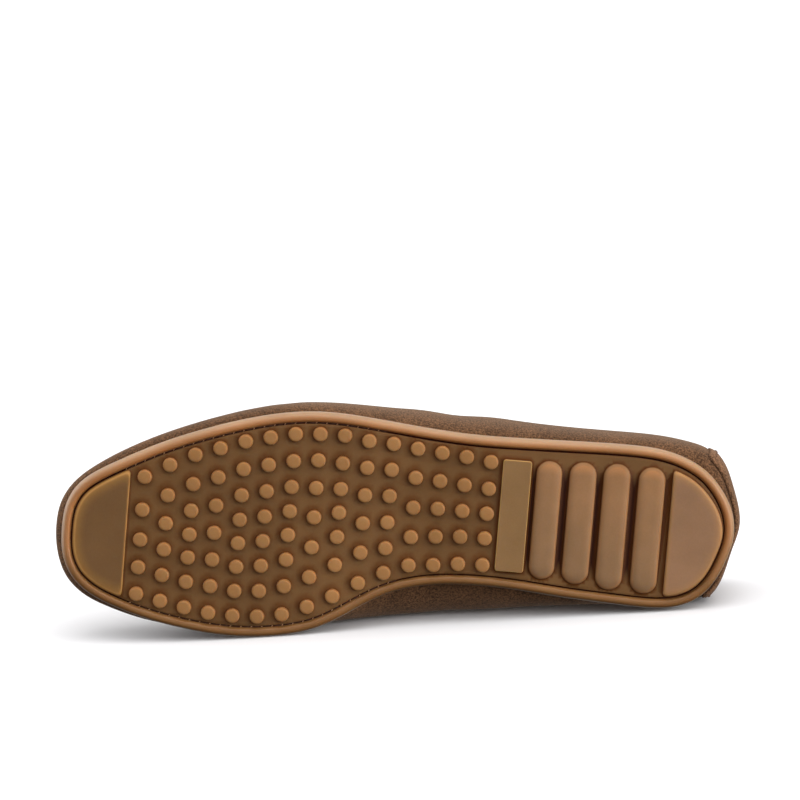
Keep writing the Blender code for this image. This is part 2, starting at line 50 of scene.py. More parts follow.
# The shoe is worked out standing, in millimetres: x from heel to toe, y to the outer side, z up.
# Stations are shares of the sole's length, reaches across are shares of the ball width.
last = {
    "length": 284.0,
    "ballWidth": 95.0,
    "instep": 73.0,
    "heelHeight": 60.0,
    "toeSpring": 9.0,
    "archRise": 2.5,
    "archSpan": (0.36, 0.62),
    "springFrom": 0.72,
    "soleTop": 8.0,
    "soleGap": 0.3,  # between the sole and the foot of the upper
    "lastingMargin": 5.0,
    "rearFan": (45.0, 34.0),  # where the ribs start to fan, and the ridge point they end at
    "toeFan": (222.0, 260.0),
    "throat": 166.0,
    "heelPatchPoint": (14.0, -1.0),  # the mount on the heel patch
    "core": (40.0, 240.0, 0.2, 25.0),  # back, front, share across and height: outwards is away from it
    "planSamples": 2400,
    "soleHeel": (0.0, -0.011),
    "soleToe": (1.0, -0.235),
    "soleOutline": [  # station, outer, inner
        (0.009, 0.114, 0.133), (0.024, 0.187, 0.232), (0.044, 0.251, 0.301), (0.072, 0.302, 0.347),
        (0.109, 0.337, 0.366), (0.162, 0.351, 0.364), (0.246, 0.348, 0.351), (0.335, 0.342, 0.331),
        (0.405, 0.342, 0.332), (0.461, 0.351, 0.356), (0.514, 0.366, 0.411), (0.563, 0.381, 0.499),
        (0.613, 0.389, 0.581), (0.669, 0.376, 0.625), (0.732, 0.334, 0.642), (0.803, 0.263, 0.628),
        (0.866, 0.183, 0.596), (0.915, 0.106, 0.556), (0.954, 0.037, 0.507), (0.979, -0.026, 0.446),
        (0.995, -0.111, 0.358),
    ],
    "upperHeel": (-0.0095, 0.021),
    "upperToe": (1.0127, -0.226),
    "upperOutline": [  # station, outer, inner
        (-0.0020, 0.133, 0.082), (0.008, 0.212, 0.208), (0.016, 0.265, 0.268), (0.028, 0.313, 0.311),
        (0.041, 0.342, 0.328), (0.063, 0.362, 0.341), (0.102, 0.379, 0.361), (0.176, 0.385, 0.389),
        (0.282, 0.387, 0.429), (0.387, 0.398, 0.474), (0.458, 0.402, 0.505), (0.521, 0.408, 0.535),
        (0.581, 0.415, 0.563), (0.641, 0.412, 0.593), (0.711, 0.379, 0.621), (0.782, 0.315, 0.631),
        (0.852, 0.232, 0.625), (0.923, 0.122, 0.580), (0.961, 0.046, 0.537), (0.991, -0.037, 0.463),
        (1.007, -0.121, 0.363),
    ],
    "sectionColumns": (
        "station", "ridge", "across", "outerBelly", "innerBelly", "fullness", "outerTuck", "innerTuck",
    ),
    "sections": [
        (0.120, 1.190, 0.000, 0.30, 0.29, 2.05, 3.0, 3.0),
        (0.210, 1.190, 0.000, 0.32, 0.29, 2.05, 3.0, 2.6),
        (0.352, 1.180, 0.000, 0.36, 0.28, 2.10, 2.6, 2.0),
        (0.458, 1.140, -0.020, 0.36, 0.27, 2.15, 2.5, 2.0),
        (0.528, 1.075, -0.050, 0.31, 0.25, 2.10, 2.6, 2.2),
        (0.592, 0.993, -0.084, 0.27, 0.23, 2.10, 2.8, 2.6),
        (0.651, 0.906, -0.116, 0.22, 0.20, 2.15, 3.0, 3.0),
        (0.722, 0.812, -0.153, 0.18, 0.17, 2.20, 3.0, 3.0),
        (0.792, 0.730, -0.184, 0.16, 0.15, 2.30, 3.0, 3.0),
        (0.863, 0.650, -0.210, 0.14, 0.14, 2.40, 3.0, 3.0),
        (0.915, 0.585, -0.226, 0.14, 0.14, 2.50, 3.0, 3.0),
    ],
    "topline": [  # station, height as a share of the heel height
        (0.000, 1.000), (0.088, 0.950), (0.194, 0.875), (0.282, 0.858), (0.370, 0.900),
        (0.451, 0.990), (0.514, 1.092), (0.549, 1.160), (0.570, 1.200), (0.585, 1.217),
    ],
}

# Where the shoe lies: its up is the heel patch's inward normal, and its length lies level across Y.
heelMount = frame["record"]["mounts"][0]
upShoe = -Vector(heelMount["axis"]).normalized()
alongShoe = Vector((upShoe.z, 0, -upShoe.x)).normalized()
acrossShoe = upShoe.cross(alongShoe)
patchX, patchY = last["heelPatchPoint"]
shoeOrigin = Vector(heelMount["pos_m"]) - alongShoe * patchX * mm - acrossShoe * patchY * mm
shoeAxes = np.array([alongShoe, acrossShoe, upShoe])


def toRow(points):
    return np.asarray(points, float) * mm @ shoeAxes + np.array(shoeOrigin)


def unit(vectors):
    return vectors / np.linalg.norm(vectors, axis=-1, keepdims=True)


def lengths(path):
    # distance from the path's start to each of its points
    return np.concatenate([[0], np.cumsum(np.linalg.norm(np.diff(path, axis=0), axis=1))])


def readAt(at, run, rows):
    # rows known at some distances, read at others
    return np.column_stack([np.interp(at, run, values) for values in np.asarray(rows).T])


def placesAlong(path, at):
    return readAt(at, lengths(path), path)


def closedSpline(points, samples):
    # smooth closed curve through the points
    knots = np.array(points)
    count = len(knots)
    after = np.roll(knots, -1, axis=0) - knots
    span = np.linalg.norm(after, axis=1)
    slope = after / span[:, None]
    system = np.zeros((count, count))
    for i in range(count):
        system[i, i - 1] = span[i - 1]
        system[i, i] = 2 * (span[i - 1] + span[i])
        system[i, (i + 1) % count] = span[i]
    bend = np.linalg.solve(system, 6 * (slope - np.roll(slope, 1, axis=0)))
    starts = np.concatenate([[0], np.cumsum(span)])
    at = np.linspace(0, starts[-1], samples, endpoint=False)
    piece = np.searchsorted(starts, at, side="right") - 1
    ahead = (at - starts[piece])[:, None]
    width = span[piece][:, None]
    left = width - ahead
    near, far = bend[piece], bend[(piece + 1) % count]
    arch = (near * left**3 + far * ahead**3) / (6 * width)
    start = (knots[piece] / width - near * width / 6) * left
    end = (knots[(piece + 1) % count] / width - far * width / 6) * ahead
    return arch + start + end


def makePlan(heel, rows, toe):
    # outline from above, found by the angle that runs from the heel by the outer side
    outer = [(station, reach) for station, reach, _ in rows]
    inner = [(station, -reach) for station, _, reach in reversed(rows)]
    shares = np.array([heel, *outer, toe, *inner])
    curve = closedSpline(shares * (last["length"], last["ballWidth"]), last["planSamples"])
    curve = np.roll(curve, -int(curve[:, 0].argmin()), axis=0)
    tip = int(curve[:, 0].argmax())
    back, length = curve[0, 0], curve[tip, 0] - curve[0, 0]
    angle = np.arccos(1 - 2 * (curve[:, 0] - back) / length)
    angle[tip + 1:] = fullTurn - angle[tip + 1:]
    return {"back": back, "length": length, "angle": angle, "curve": curve}


def planAt(plan, angles):
    turn = np.mod(angles, fullTurn)
    sides = plan["curve"].T
    return np.column_stack([np.interp(turn, plan["angle"], values, period=fullTurn) for values in sides])


def planPoint(plan, angles, inset=0.0, nudge=0.02):
    # points on the outline, moved in by an even distance; its direction is read a nudge either side
    angles = np.atleast_1d(np.asarray(angles, float))
    ahead = unit(planAt(plan, angles + nudge) - planAt(plan, angles - nudge))
    return planAt(plan, angles) + np.column_stack([ahead[:, 1], -ahead[:, 0]]) * np.reshape(inset, (-1, 1))


def angleAt(plan, station, side):
    turn = math.acos(1 - 2 * (station - plan["back"]) / plan["length"])
    return turn if side > 0 else fullTurn - turn


def anglesRound(count):
    return np.arange(count) * fullTurn / count


def column(table, number, stations):
    # one column of a table at any stations, smooth between its rows
    rows = np.array(table)
    x, y = rows[:, 0], rows[:, number]
    slopes = np.gradient(y, x)
    at = np.clip(stations, x[0], x[-1])
    i = np.clip(np.searchsorted(x, at, side="right") - 1, 0, len(x) - 2)
    width = x[i + 1] - x[i]
    t = (at - x[i]) / width
    start = y[i] * (1 + 2 * t) * (1 - t) ** 2 + slopes[i] * width * t * (1 - t) ** 2
    end = y[i + 1] * t * t * (3 - 2 * t) + slopes[i + 1] * width * t * t * (t - 1)
    return start + end


def groundRise(x):
    # how far the sole bends up: a low arch at the waist, then the toe spring
    share = np.asarray(x, float) / last["length"]
    archFrom, archTo = last["archSpan"]
    inArch = np.clip((share - archFrom) / (archTo - archFrom), 0, 1)
    spring = np.clip((share - last["springFrom"]) / (1 - last["springFrom"]), 0, None)
    return last["archRise"] * np.sin(math.pi * inArch) ** 2 + last["toeSpring"] * spring**2


def raised(flat, level):
    # plan points at a level of the sole, bent up with it
    flat = np.asarray(flat, float)
    return np.column_stack([flat[:, 0], flat[:, 1], level + groundRise(flat[:, 0])])


solePlan = makePlan(last["soleHeel"], last["soleOutline"], last["soleToe"])
upperPlan = makePlan(last["upperHeel"], last["upperOutline"], last["upperToe"])


# Mesh helpers

def bridged(first, second):
    # faces between two closed loops
    after = [*range(1, len(first)), 0]
    return [(first[k], first[n], second[n], second[k]) for k, n in enumerate(after)]


def netFaces(ids, closed=False):
    # faces of a net of points, where corners that are one point count once
    count, rows = ids.shape
    faces = []
    for i in range(count if closed else count - 1):
        j = (i + 1) % count
        for k in range(rows - 1):
            corners = (ids[i, k], ids[j, k], ids[j, k + 1], ids[i, k + 1])
            faces.append(tuple(dict.fromkeys(int(corner) for corner in corners)))
    return faces


def bothSides(faces, size):
    # a skin's faces, and those of its copy further in, which look the other way
    return [*faces, *(tuple(k + size for k in reversed(face)) for face in faces)]


def pointNormals(points, faces):
    normals = np.zeros_like(points)
    for face in faces:
        corners = points[list(face)]
        normals[list(face)] += np.cross(corners[-1] - corners[1], corners[2] - corners[0])
    return normals / np.maximum(np.linalg.norm(normals, axis=1), 1e-12)[:, None]


class Bag:
    # gathers points, faces and a colour for each point
    def __init__(self):
        self.points, self.faces, self.tones, self.count = [], [], [], 0

    def add(self, points, tone=(1, 1, 1, 1)):
        points = np.asarray(points, float)
        self.points.append(points)
        self.tones.append(np.broadcast_to(np.asarray(tone, float), (len(points), 4)))
        self.count += len(points)
        return list(range(self.count - len(points), self.count))

    def loft(self, rows):
        for first, second in zip(rows, rows[1:]):
            self.faces += bridged(first, second)

    def cap(self, ring):
        # strips from one side of an even ring to the other
        for k in range(len(ring) // 2):
            corners = (ring[k], ring[k + 1], ring[-k - 1], ring[-k])
            self.faces.append(tuple(dict.fromkeys(corners)))

    def piece(self, name, toneName=None):
        return newPiece(name, np.concatenate(self.points), self.faces, toneName, np.concatenate(self.tones))


def addObject(name, data):
    thing = bpy.data.objects.new(name, data)
    bpy.context.scene.collection.objects.link(thing)
    return thing


def newPiece(name, points, faces, toneName=None, tones=None):
    mesh = bpy.data.meshes.new(name)
    mesh.from_pydata(toRow(points).tolist(), [], faces)
    if toneName:
        layer = mesh.color_attributes.new(toneName, "FLOAT_COLOR", "POINT")
        layer.data.foreach_set("color", np.ravel(tones))
    build = bmesh.new()
    build.from_mesh(mesh)
    bmesh.ops.recalc_face_normals(build, faces=build.faces)
    build.to_mesh(mesh)
    build.free()
    mesh.shade_smooth()
    return addObject(name, mesh)


def finishPiece(piece, material, node=None):
    piece.data.materials.append(material)
    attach(piece, "root")
    if node:
        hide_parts(node)
    print("made", piece.name, len(piece.data.polygons), "faces")


def shrunk(loop, inset, sharpest=0.5):
    # closed anticlockwise loop moved in by an even distance
    points = np.array(loop)
    after = unit(np.roll(points, -1, axis=0) - points)
    left = np.column_stack([-after[:, 1], after[:, 0]])
    both = unit(left + np.roll(left, 1, axis=0))
    return points + both * inset / np.maximum((both * left).sum(axis=1), sharpest)[:, None]


def inLoop(points, loop):
    # which points lie inside a closed loop
    x, y = points[:, 0][:, None], points[:, 1][:, None]
    x1, y1 = np.array(loop).T
    x2, y2 = np.roll(x1, -1), np.roll(y1, -1)
    crosses = (y1 > y) != (y2 > y)
    at = x1 + (y - y1) * (x2 - x1) / np.where(y2 == y1, 1e-9, y2 - y1)
    return (np.sum(crosses & (x < at), axis=1) % 2).astype(bool)


def gridInside(outline, holes, spacing, margin):
    # loose points that let a filled face bend with the sole
    low, high = outline.min(axis=0), outline.max(axis=0)
    xs, ys = np.meshgrid(np.arange(low[0], high[0], spacing), np.arange(low[1], high[1], spacing))
    points = np.column_stack([xs.ravel(), ys.ravel()])
    points = points[inLoop(points, shrunk(outline, margin))]
    for hole in holes:
        middle = hole.mean(axis=0)
        reach = np.linalg.norm(hole - middle, axis=1).max() + margin
        drop = np.linalg.norm(points - middle, axis=1) < reach
        drop[drop] = inLoop(points[drop], shrunk(hole, -margin))
        points = points[~drop]
    return points


def fillFlat(bag, outlineIds, holeIds, levelAt, toneAt, spacing, margin=1.2, merge=1e-5):
    # triangles between an outline and holes that are already in the bag
    known = np.concatenate(bag.points)
    outline = known[outlineIds][:, :2]
    holes = [known[ids][:, :2] for ids in holeIds]
    loose = gridInside(outline, holes, spacing, margin)
    looseIds = bag.add(raised(loose, levelAt(loose)), toneAt(loose)) if len(loose) else []
    ids, edges, owner = [], [], []
    for number, loop in enumerate([outlineIds, *holeIds]):
        start = len(ids)
        ids += loop
        owner += [number] * len(loop)
        edges += [(start + k, start + (k + 1) % len(loop)) for k in range(len(loop))]
    flat = [Vector(known[k][:2]) for k in ids] + [Vector(p) for p in loose]
    owner += [-1] * len(loose)
    ids = ids + looseIds
    found = delaunay_2d_cdt(flat, edges, [], 1, merge)
    for face in found[2]:
        corners = [found[3][k][0] for k in face]
        owners = {owner[k] for k in corners}
        if len(owners) == 1 and owners.isdisjoint({0, -1}):  # a face inside a hole
            continue
        bag.faces.append(tuple(ids[k] for k in corners))


# Material helpers

def linear(red, green, blue):
    # a colour as a painter reads it, 0 to 255, to light values
    shares = np.array([red, green, blue]) / 255
    return np.where(shares <= 0.04045, shares / 12.92, ((shares + 0.055) / 1.055) ** 2.4)


def solid(colour):
    return (*linear(*colour), 1.0)


def newMaterial(name):
    material = bpy.data.materials.new(name)
    material.use_nodes = True
    tree = material.node_tree
    return material, tree, tree.nodes["Principled BSDF"]


def setInputs(node, values):
    for key, value in values.items():
        node.inputs[key].default_value = value


def feed(tree, value, socket):
    # a link from another node, or a fixed value
    if isinstance(value, bpy.types.NodeSocket):
        tree.links.new(value, socket)
    else:
        socket.default_value = value


def addNode(tree, kind, values=None, settings=None):
    node = tree.nodes.new(kind)
    for key, value in (settings or {}).items():
        setattr(node, key, value)
    setInputs(node, values or {})
    return node


def noise(tree, place, scale, detail=3.0, roughness=0.55):
    node = addNode(tree, "ShaderNodeTexNoise", {"Scale": scale, "Detail": detail, "Roughness": roughness})
    tree.links.new(place.outputs["Object"], node.inputs["Vector"])
    return node.outputs["Fac"]


def spread(tree, source, low, high, fromLow=0.3, fromHigh=0.7):
    limits = {"From Min": fromLow, "From Max": fromHigh, "To Min": low, "To Max": high}
    node = addNode(tree, "ShaderNodeMapRange", limits)
    tree.links.new(source, node.inputs["Value"])
    return node.outputs["Result"]


def scaleColour(tree, colour, factor):
    # colour times a grey factor
    settings = {"data_type": "RGBA", "blend_type": "MULTIPLY"}
    node = addNode(tree, "ShaderNodeMix", {"Factor": 1.0}, settings)
    feed(tree, colour, node.inputs["A"])
    feed(tree, factor, node.inputs["B"])
    return node.outputs["Result"]


def mathNode(tree, operation, first, second):
    node = addNode(tree, "ShaderNodeMath", None, {"operation": operation})
    feed(tree, first, node.inputs[0])
    feed(tree, second, node.inputs[1])
    return node.outputs["Value"]


def bump(tree, height, strength, distance, before=None):
    node = addNode(tree, "ShaderNodeBump", {"Strength": strength, "Distance": distance})
    tree.links.new(height, node.inputs["Height"])
    if before:
        tree.links.new(before, node.inputs["Normal"])
    return node.outputs["Normal"]


# Gum rubber sole

outsole = {
    "fieldLevel": 2.4,
    "grooveLevel": 3.5,
    "topChamfer": 0.8,
    "beadWidth": 4.25,
    "beadLevel": 1.2,
    "beadWaist": 5.0,
    "beadSweep": 160.0,
    "beadSteps": 14,
    "beadSquare": 0.72,  # below 1 the inner flank of the bead is steeper
    "grooveWidth": 0.55,
    "around": 480,
    "studRadius": 3.12,
    "studSides": 24,
    "studPitch": 10.34,
    "firstStud": 105.0,
    "studColumns": [  # count, outer margin, inner margin, bow, gather, from waist to toe
        (5, 10.6, 9.2, 0.0, 0.4), (5, 9.5, 9.1, -0.2, 0.4), (5, 9.2, 8.9, 0.1, 0.1),
        (5, 9.1, 10.2, -0.2, -0.2), (6, 8.9, 10.2, -0.3, -0.2), (6, 9.5, 11.3, 1.3, 0.1),
        (7, 8.8, 11.4, 1.5, 1.4), (7, 9.1, 10.8, 1.4, -0.4), (8, 9.1, 9.3, 0.6, 1.0),
        (8, 9.5, 9.0, -0.7, 0.5), (8, 9.4, 9.1, -1.2, 0.7), (7, 9.9, 9.1, -0.9, 0.2),
        (7, 9.8, 9.4, -1.4, 1.0), (6, 10.8, 9.6, -1.5, 0.4), (5, 11.9, 9.4, -1.8, 0.2),
    ],
    "flatBar": (87.7, 99.9, 23.6, -23.9, 0.10),  # back, front, outer end, inner end, rounding
    "roundBars": [
        (74.6, 85.6, 24.3, -26.0, 0.49), (60.1, 71.6, 24.9, -27.0, 0.49),
        (45.8, 57.3, 25.4, -28.3, 0.49), (31.0, 42.5, 25.1, -28.7, 0.49),
    ],
    "cornerSteps": (6, 10),  # of a flat bar and of a round one
    "barFall": (9.0, 0.42),  # how far from its ends a round bar falls off, and by what share
    "toePatch": (255.9, 5.05, 3.0, 0.0),  # straight edge, inset, corner radius, more inset outside
    "heelPatch": (28.2, 5.15, 2.0, 1.15),
    "arcSamples": 2001,
    "patchSteps": 72,
    "bendSteps": 9,
    "moreBy": 0.42,  # angle past the middle by which the inset outside is full
    "fieldSpacing": 1.7,
    "fieldMargin": 0.5,
    "barSpacing": 2.5,
    "flatSpacing": 5.0,
    # painted shadow round each stud: how far it reaches, how strong it is and how far it is shifted
    "studShadowReach": 1.2,
    "studShadowShare": 0.78,
    "studShadowShift": (0.8, 0.9),  # the painted shadow round each stud is shifted towards the toe and the outer side
    "barZone": ((28.0, 88.0), (-25.0, 23.0)),  # where the gaps between the bars are painted dark, as shade
    "barFade": 8.0,
    "fieldColour": (105, 75, 45),
    # painted shade at the foot of the raised tread
    "footShadeColour": (82, 43, 13),
    # colour of the painted shadow round the studs
    "studShadowColour": (84, 46, 15),
    "studColour": (143, 103, 63),
    # the studs' walls, painted darker as shade
    "studWallShade": (130, 82, 41),
    "barColour": (128, 98, 70),
    "barLitEnd": (156, 108, 68),  # painted light, warmer and brighter at the outer ends of the round bars
    # where the painted light at the bar ends starts, and how fast it grows
    "litEndFrom": 15.5,
    "litEndPower": 1.5,
    "barEdge": (136, 99, 66),
    # painted shade in the gaps between the bars
    "barGapShade": (36, 10, 3),
    "flatColour": (125, 95, 62),
    # painted highlight along the flat bar's edge
    "flatEdgeHighlight": (171, 137, 80),
    "toeColour": (108, 79, 50),
    # painted highlights on the toe patch's bevelled edge
    "toeEdgeHighlight": (148, 108, 60),
    "toeLineHighlight": (171, 126, 72),
    "heelColour": (135, 102, 76),
    # painted highlight on the heel patch's bevelled edge
    "heelEdgeHighlight": (152, 113, 74),
    "rimColour": (119, 82, 45),
    "rimHighlight": (152, 120, 90),  # painted highlight, all round but where the rim faces the inner side
    "rimLitFlank": (158, 106, 62),  # painted light on the flank towards the groove, where the painted highlight ends
    "rimTurn": (2.8, 0.85),  # how fast and how late the painted highlight turns into the warmer painted light
    # how fast the painted light fades where the rim turns to the inner side
    "highlightFade": 0.6,
    # the groove, painted dark as shade
    "grooveShade": (50, 14, 5),
    "treadGloss": 0.06,
    "rimGloss": 0.22,
}


def tone(key):
    return np.array(solid(outsole[key]))


def between(first, second, share=0.5):
    return tone(first) + (tone(second) - tone(first)) * share


def rimTone(inwards):
    # the rim's colour from its outer flank, 0, to the groove, 1, with painted highlight and painted light on
    # all but its inner side
    fast, late = outsole["rimTurn"]
    pale = between("rimHighlight", "rimLitFlank", min(max(inwards * fast - late, 0), 1))

    def toneAt(points):
        ahead = np.roll(points, -1, axis=0) - np.roll(points, 1, axis=0)
        turns = np.sign((points[:, 0] * ahead[:, 1] - points[:, 1] * ahead[:, 0]).sum())
        outer = -turns * unit(ahead)[:, 0]  # 1 where it faces the outer side
        share = np.clip(1 + outer / outsole["highlightFade"], 0, 1)[:, None]
        return tone("rimColour") + (pale - tone("rimColour")) * share

    return toneAt


def edgeSection():
    # the sole's edge from the top face round the bead to the field: inset, level, colour
    width, half, steps = outsole["beadWidth"], outsole["beadWidth"] / 2, outsole["beadSteps"]
    waist, low, top = outsole["beadWaist"], outsole["beadLevel"], last["soleTop"]
    chamfer, floor, field = outsole["topChamfer"], outsole["grooveLevel"], outsole["fieldLevel"]
    inner = width + outsole["grooveWidth"]
    rim, dark = rimTone(0), tone("grooveShade")
    section = [(chamfer, top, rim), (chamfer * 0.3, top - chamfer * 0.3, rim), (0.0, top - chamfer, rim)]
    for k in range(steps + 1):
        turn = math.radians(outsole["beadSweep"]) * k / steps
        power = 1.0 if turn < math.pi / 2 else outsole["beadSquare"]
        out, down = math.cos(turn), math.sin(turn) ** power
        out = math.copysign(abs(out) ** power, out)
        section.append((half - half * out, waist - (waist - low) * down, rimTone(k / steps)))
    section += [(width, floor, dark), (inner - 0.05, floor, dark), (inner, field + 0.5, dark)]
    section += [(inner + 0.04, field + 0.12, between("grooveShade", "fieldColour", 0.6))]
    section += [(inner + 0.12, field, tone("fieldColour"))]
    return section


def studCentres():
    centres = []
    for number, (count, outerMargin, innerMargin, bow, gather) in enumerate(outsole["studColumns"]):
        x = outsole["firstStud"] + number * outsole["studPitch"]
        first = planPoint(solePlan, angleAt(solePlan, x, 1))[0, 1] - outerMargin
        final = planPoint(solePlan, angleAt(solePlan, x, -1))[0, 1] + innerMargin
        for share in np.linspace(0, 1, count):
            shift = bow * 4 * share * (1 - share) - gather * math.sin(fullTurn * share)
            centres.append((x, first + (final - first) * share + shift))
    return np.array(centres)


studSpots = studCentres()


def barLoop(back, front, outerEnd, innerEnd, radius, steps):
    corners = (
        (front, outerEnd, -1, -1), (back, outerEnd, 1, -1), (back, innerEnd, 1, 1), (front, innerEnd, -1, 1),
    )
    loop = []
    for quarter, (x, y, toX, toY) in enumerate(corners):
        for k in range(steps + 1):
            turn = (quarter + k / steps) * math.pi / 2
            loop.append((x + radius * (toX + math.cos(turn)), y + radius * (toY + math.sin(turn))))
    return loop


def barLoops(bar, section, steps):
    # the bar's outline for each row of its section, moved in by an even distance
    back, front, outerEnd, innerEnd, rounding = bar
    loops = []
    for inset, *_ in section:
        radius = max(rounding * (front - back) - inset, 0.1)
        sides = back + inset, front - inset, outerEnd - inset, innerEnd + inset
        loops.append(barLoop(*sides, radius, steps))
    return loops


def patchLoop(station, inset, radius, more, middle):
    # the sole's own curve about the middle angle, cut off straight, with soft corners
    turns = np.linspace(math.pi / 2, -math.pi / 2, outsole["arcSamples"])
    arc = planPoint(solePlan, middle + turns, inset + more * np.clip(turns / outsole["moreBy"], 0, 1))
    arc = arc[(arc[:, 0] - station) * math.cos(middle) < 0]
    body = placesAlong(arc, np.linspace(radius, lengths(arc)[-1] - radius, outsole["patchSteps"]))
    first, final = arc[0], arc[-1]
    straight = unit(first - final) * radius
    shares = np.linspace(0, 1, outsole["bendSteps"])[:, None]
    bends = []
    for start, corner, end in ((body[-1], final, final + straight), (first - straight, first, body[0])):
        bends.append((1 - shares) ** 2 * start + 2 * shares * (1 - shares) * corner + shares**2 * end)
    return np.concatenate([body, bends[0][1:], bends[1][:-1]])


def patchLoops(patch, section, middle):
    # the patch's loop for each row of its section, moved in from its curved and from its straight side
    station, inset, radius, more = patch
    forward = -math.cos(middle)
    return [patchLoop(station + row[1] * forward, inset + row[0], radius, more, middle) for row in section]


def addTread(bag, loops, section, capSpacing=None, fallAt=None):
    # a raised piece of tread: a loop for each row, whose last values are height and colour, then its top
    def level(points):
        return outsole["fieldLevel"] - height * (fallAt(points) if fallAt else 1.0)

    def colour(points):
        return paint(points) if callable(paint) else paint

    rows = []
    for loop, (*_, height, paint) in zip(loops, section):
        loop = np.asarray(loop)
        rows.append(bag.add(raised(loop, level(loop)), colour(loop)))
    bag.loft(rows)
    if capSpacing:
        fillFlat(bag, rows[-1], [], level, colour, capSpacing)
    else:
        bag.faces.append(tuple(rows[-1]))
    return rows[0]


def gapShadeShare(points):
    # how much painted shade a place gets between the bars: 1 along their sides, none beyond their ends
    (back, front), (low, high) = outsole["barZone"]
    inRow = (points[:, 0] > back) & (points[:, 0] < front)
    ends = np.minimum(points[:, 1] - low, high - points[:, 1]) / outsole["barFade"]
    return (inRow * np.clip(ends, 0, 1))[:, None]


# painted shade at the foot of a raised piece, darkest in the gaps between the bars
def footShadeTone(points):
    return between("footShadeColour", "barGapShade", gapShadeShare(points))


def fieldTone(points):
    # the field, with a painted shadow close to the studs and painted shade in the gaps between the bars
    dark = studSpots + outsole["studShadowShift"]
    away = np.linalg.norm(points[:, None] - dark[None], axis=2).min(axis=1)
    beyond = np.maximum(away - outsole["studRadius"], 0)
    near = np.exp(-((beyond / outsole["studShadowReach"]) ** 2))[:, None]
    tones = between("fieldColour", "studShadowColour", outsole["studShadowShare"] * near)
    return tones + (tone("barGapShade") - tones) * gapShadeShare(points)


def barTone(points):
    # a round bar's top, with painted light that grows warmer towards its outer end
    reach = outsole["roundBars"][0][2] - outsole["litEndFrom"]
    share = np.clip((points[:, 1] - outsole["litEndFrom"]) / reach, 0, 1)[:, None]
    return between("barColour", "barLitEnd", share ** outsole["litEndPower"])


def barFall(bar):
    # a bar's height falls off softly towards its ends
    _, _, outerEnd, innerEnd, _ = bar
    middle, half = (outerEnd + innerEnd) / 2, (outerEnd - innerEnd) / 2
    reach, drop = outsole["barFall"]

    def fallAt(points):
        share = np.clip((np.abs(points[:, 1] - middle) - half + reach) / reach, 0, 1)
        return 1 - drop * share**2

    return fallAt


# Sections of the tread: inset, height above the field, colour

def studSection():
    # painted shadow round the stud's foot, and its walls painted darker as shade
    side, top = tone("studWallShade"), tone("studColour")
    return [
        (-0.40, 0.0, fieldTone), (-0.20, 0.0, fieldTone), (-0.08, 0.02, fieldTone), (-0.02, 0.14, fieldTone),
        (0.0, 0.35, between("studShadowColour", "studWallShade")), (0.02, 0.8, side), (0.04, 1.5, side),
        (0.1, 1.85, (side + top) / 2), (0.28, 2.12, top), (0.6, 2.27, top), (1.0, 2.35, top),
        (1.6, 2.39, top), (2.4, 2.4, top),
    ]


def roundBarSection():
    # painted shade at the bar's foot and low on its walls
    edge = tone("barEdge")
    return [
        (-0.12, 0.0, footShadeTone), (-0.05, 0.12, footShadeTone), (0.0, 0.4, footShadeTone),
        (0.12, 0.9, between("footShadeColour", "barEdge")), (0.4, 1.35, edge), (0.9, 1.76, edge),
        (1.6, 2.07, barTone), (2.4, 2.27, barTone), (3.2, 2.37, barTone), (4.0, 2.4, barTone),
    ]


def flatBarSection():
    # painted shade at the foot, and a painted highlight along the top edge
    dark, line, flat = tone("footShadeColour"), tone("flatEdgeHighlight"), tone("flatColour")
    return [
        (-0.35, 0.0, dark), (-0.05, 0.12, dark), (0.05, 1.2, (dark + flat) / 2), (0.1, 2.0, flat),
        (0.16, 2.25, line), (0.26, 2.38, line), (0.36, 2.4, flat), (0.9, 2.4, flat),
    ]


# The patches have two insets, from the curved and from the straight side

def heelSection():
    # painted shade at the foot, and a painted highlight on the bevelled edge
    glow = tone("heelEdgeHighlight")
    return [
        (-0.08, -0.1, 0.0, footShadeTone), (0.0, 0.0, 0.3, footShadeTone),
        (0.1, 0.06, 0.9, between("footShadeColour", "heelEdgeHighlight")),
        (0.25, 0.14, 1.5, glow), (0.55, 0.3, 1.9, glow), (1.0, 0.55, 2.17, glow),
        (1.7, 0.95, 2.32, between("heelEdgeHighlight", "heelColour")),
        (2.8, 1.5, 2.39, between("heelEdgeHighlight", "heelColour", 0.75)), (4.2, 2.2, 2.4, tone("heelColour")),
    ]


def toeSection():
    # painted shade at the foot, and painted highlights on the bevelled edge
    soft = tone("toeEdgeHighlight")
    return [
        (-0.03, -0.1, 0.0, tone("footShadeColour")), (0.06, 0.02, 0.25, soft), (0.35, 0.06, 0.62, soft),
        (0.8, 0.14, 0.9, tone("toeLineHighlight")), (1.6, 0.3, 1.08, between("toeEdgeHighlight", "toeColour", 0.3)),
        (2.8, 0.55, 1.17, between("toeEdgeHighlight", "toeColour", 0.6)),
        (4.2, 0.8, 1.2, between("toeEdgeHighlight", "toeColour", 0.85)), (5.6, 1.2, 1.2, tone("toeColour")),
    ]


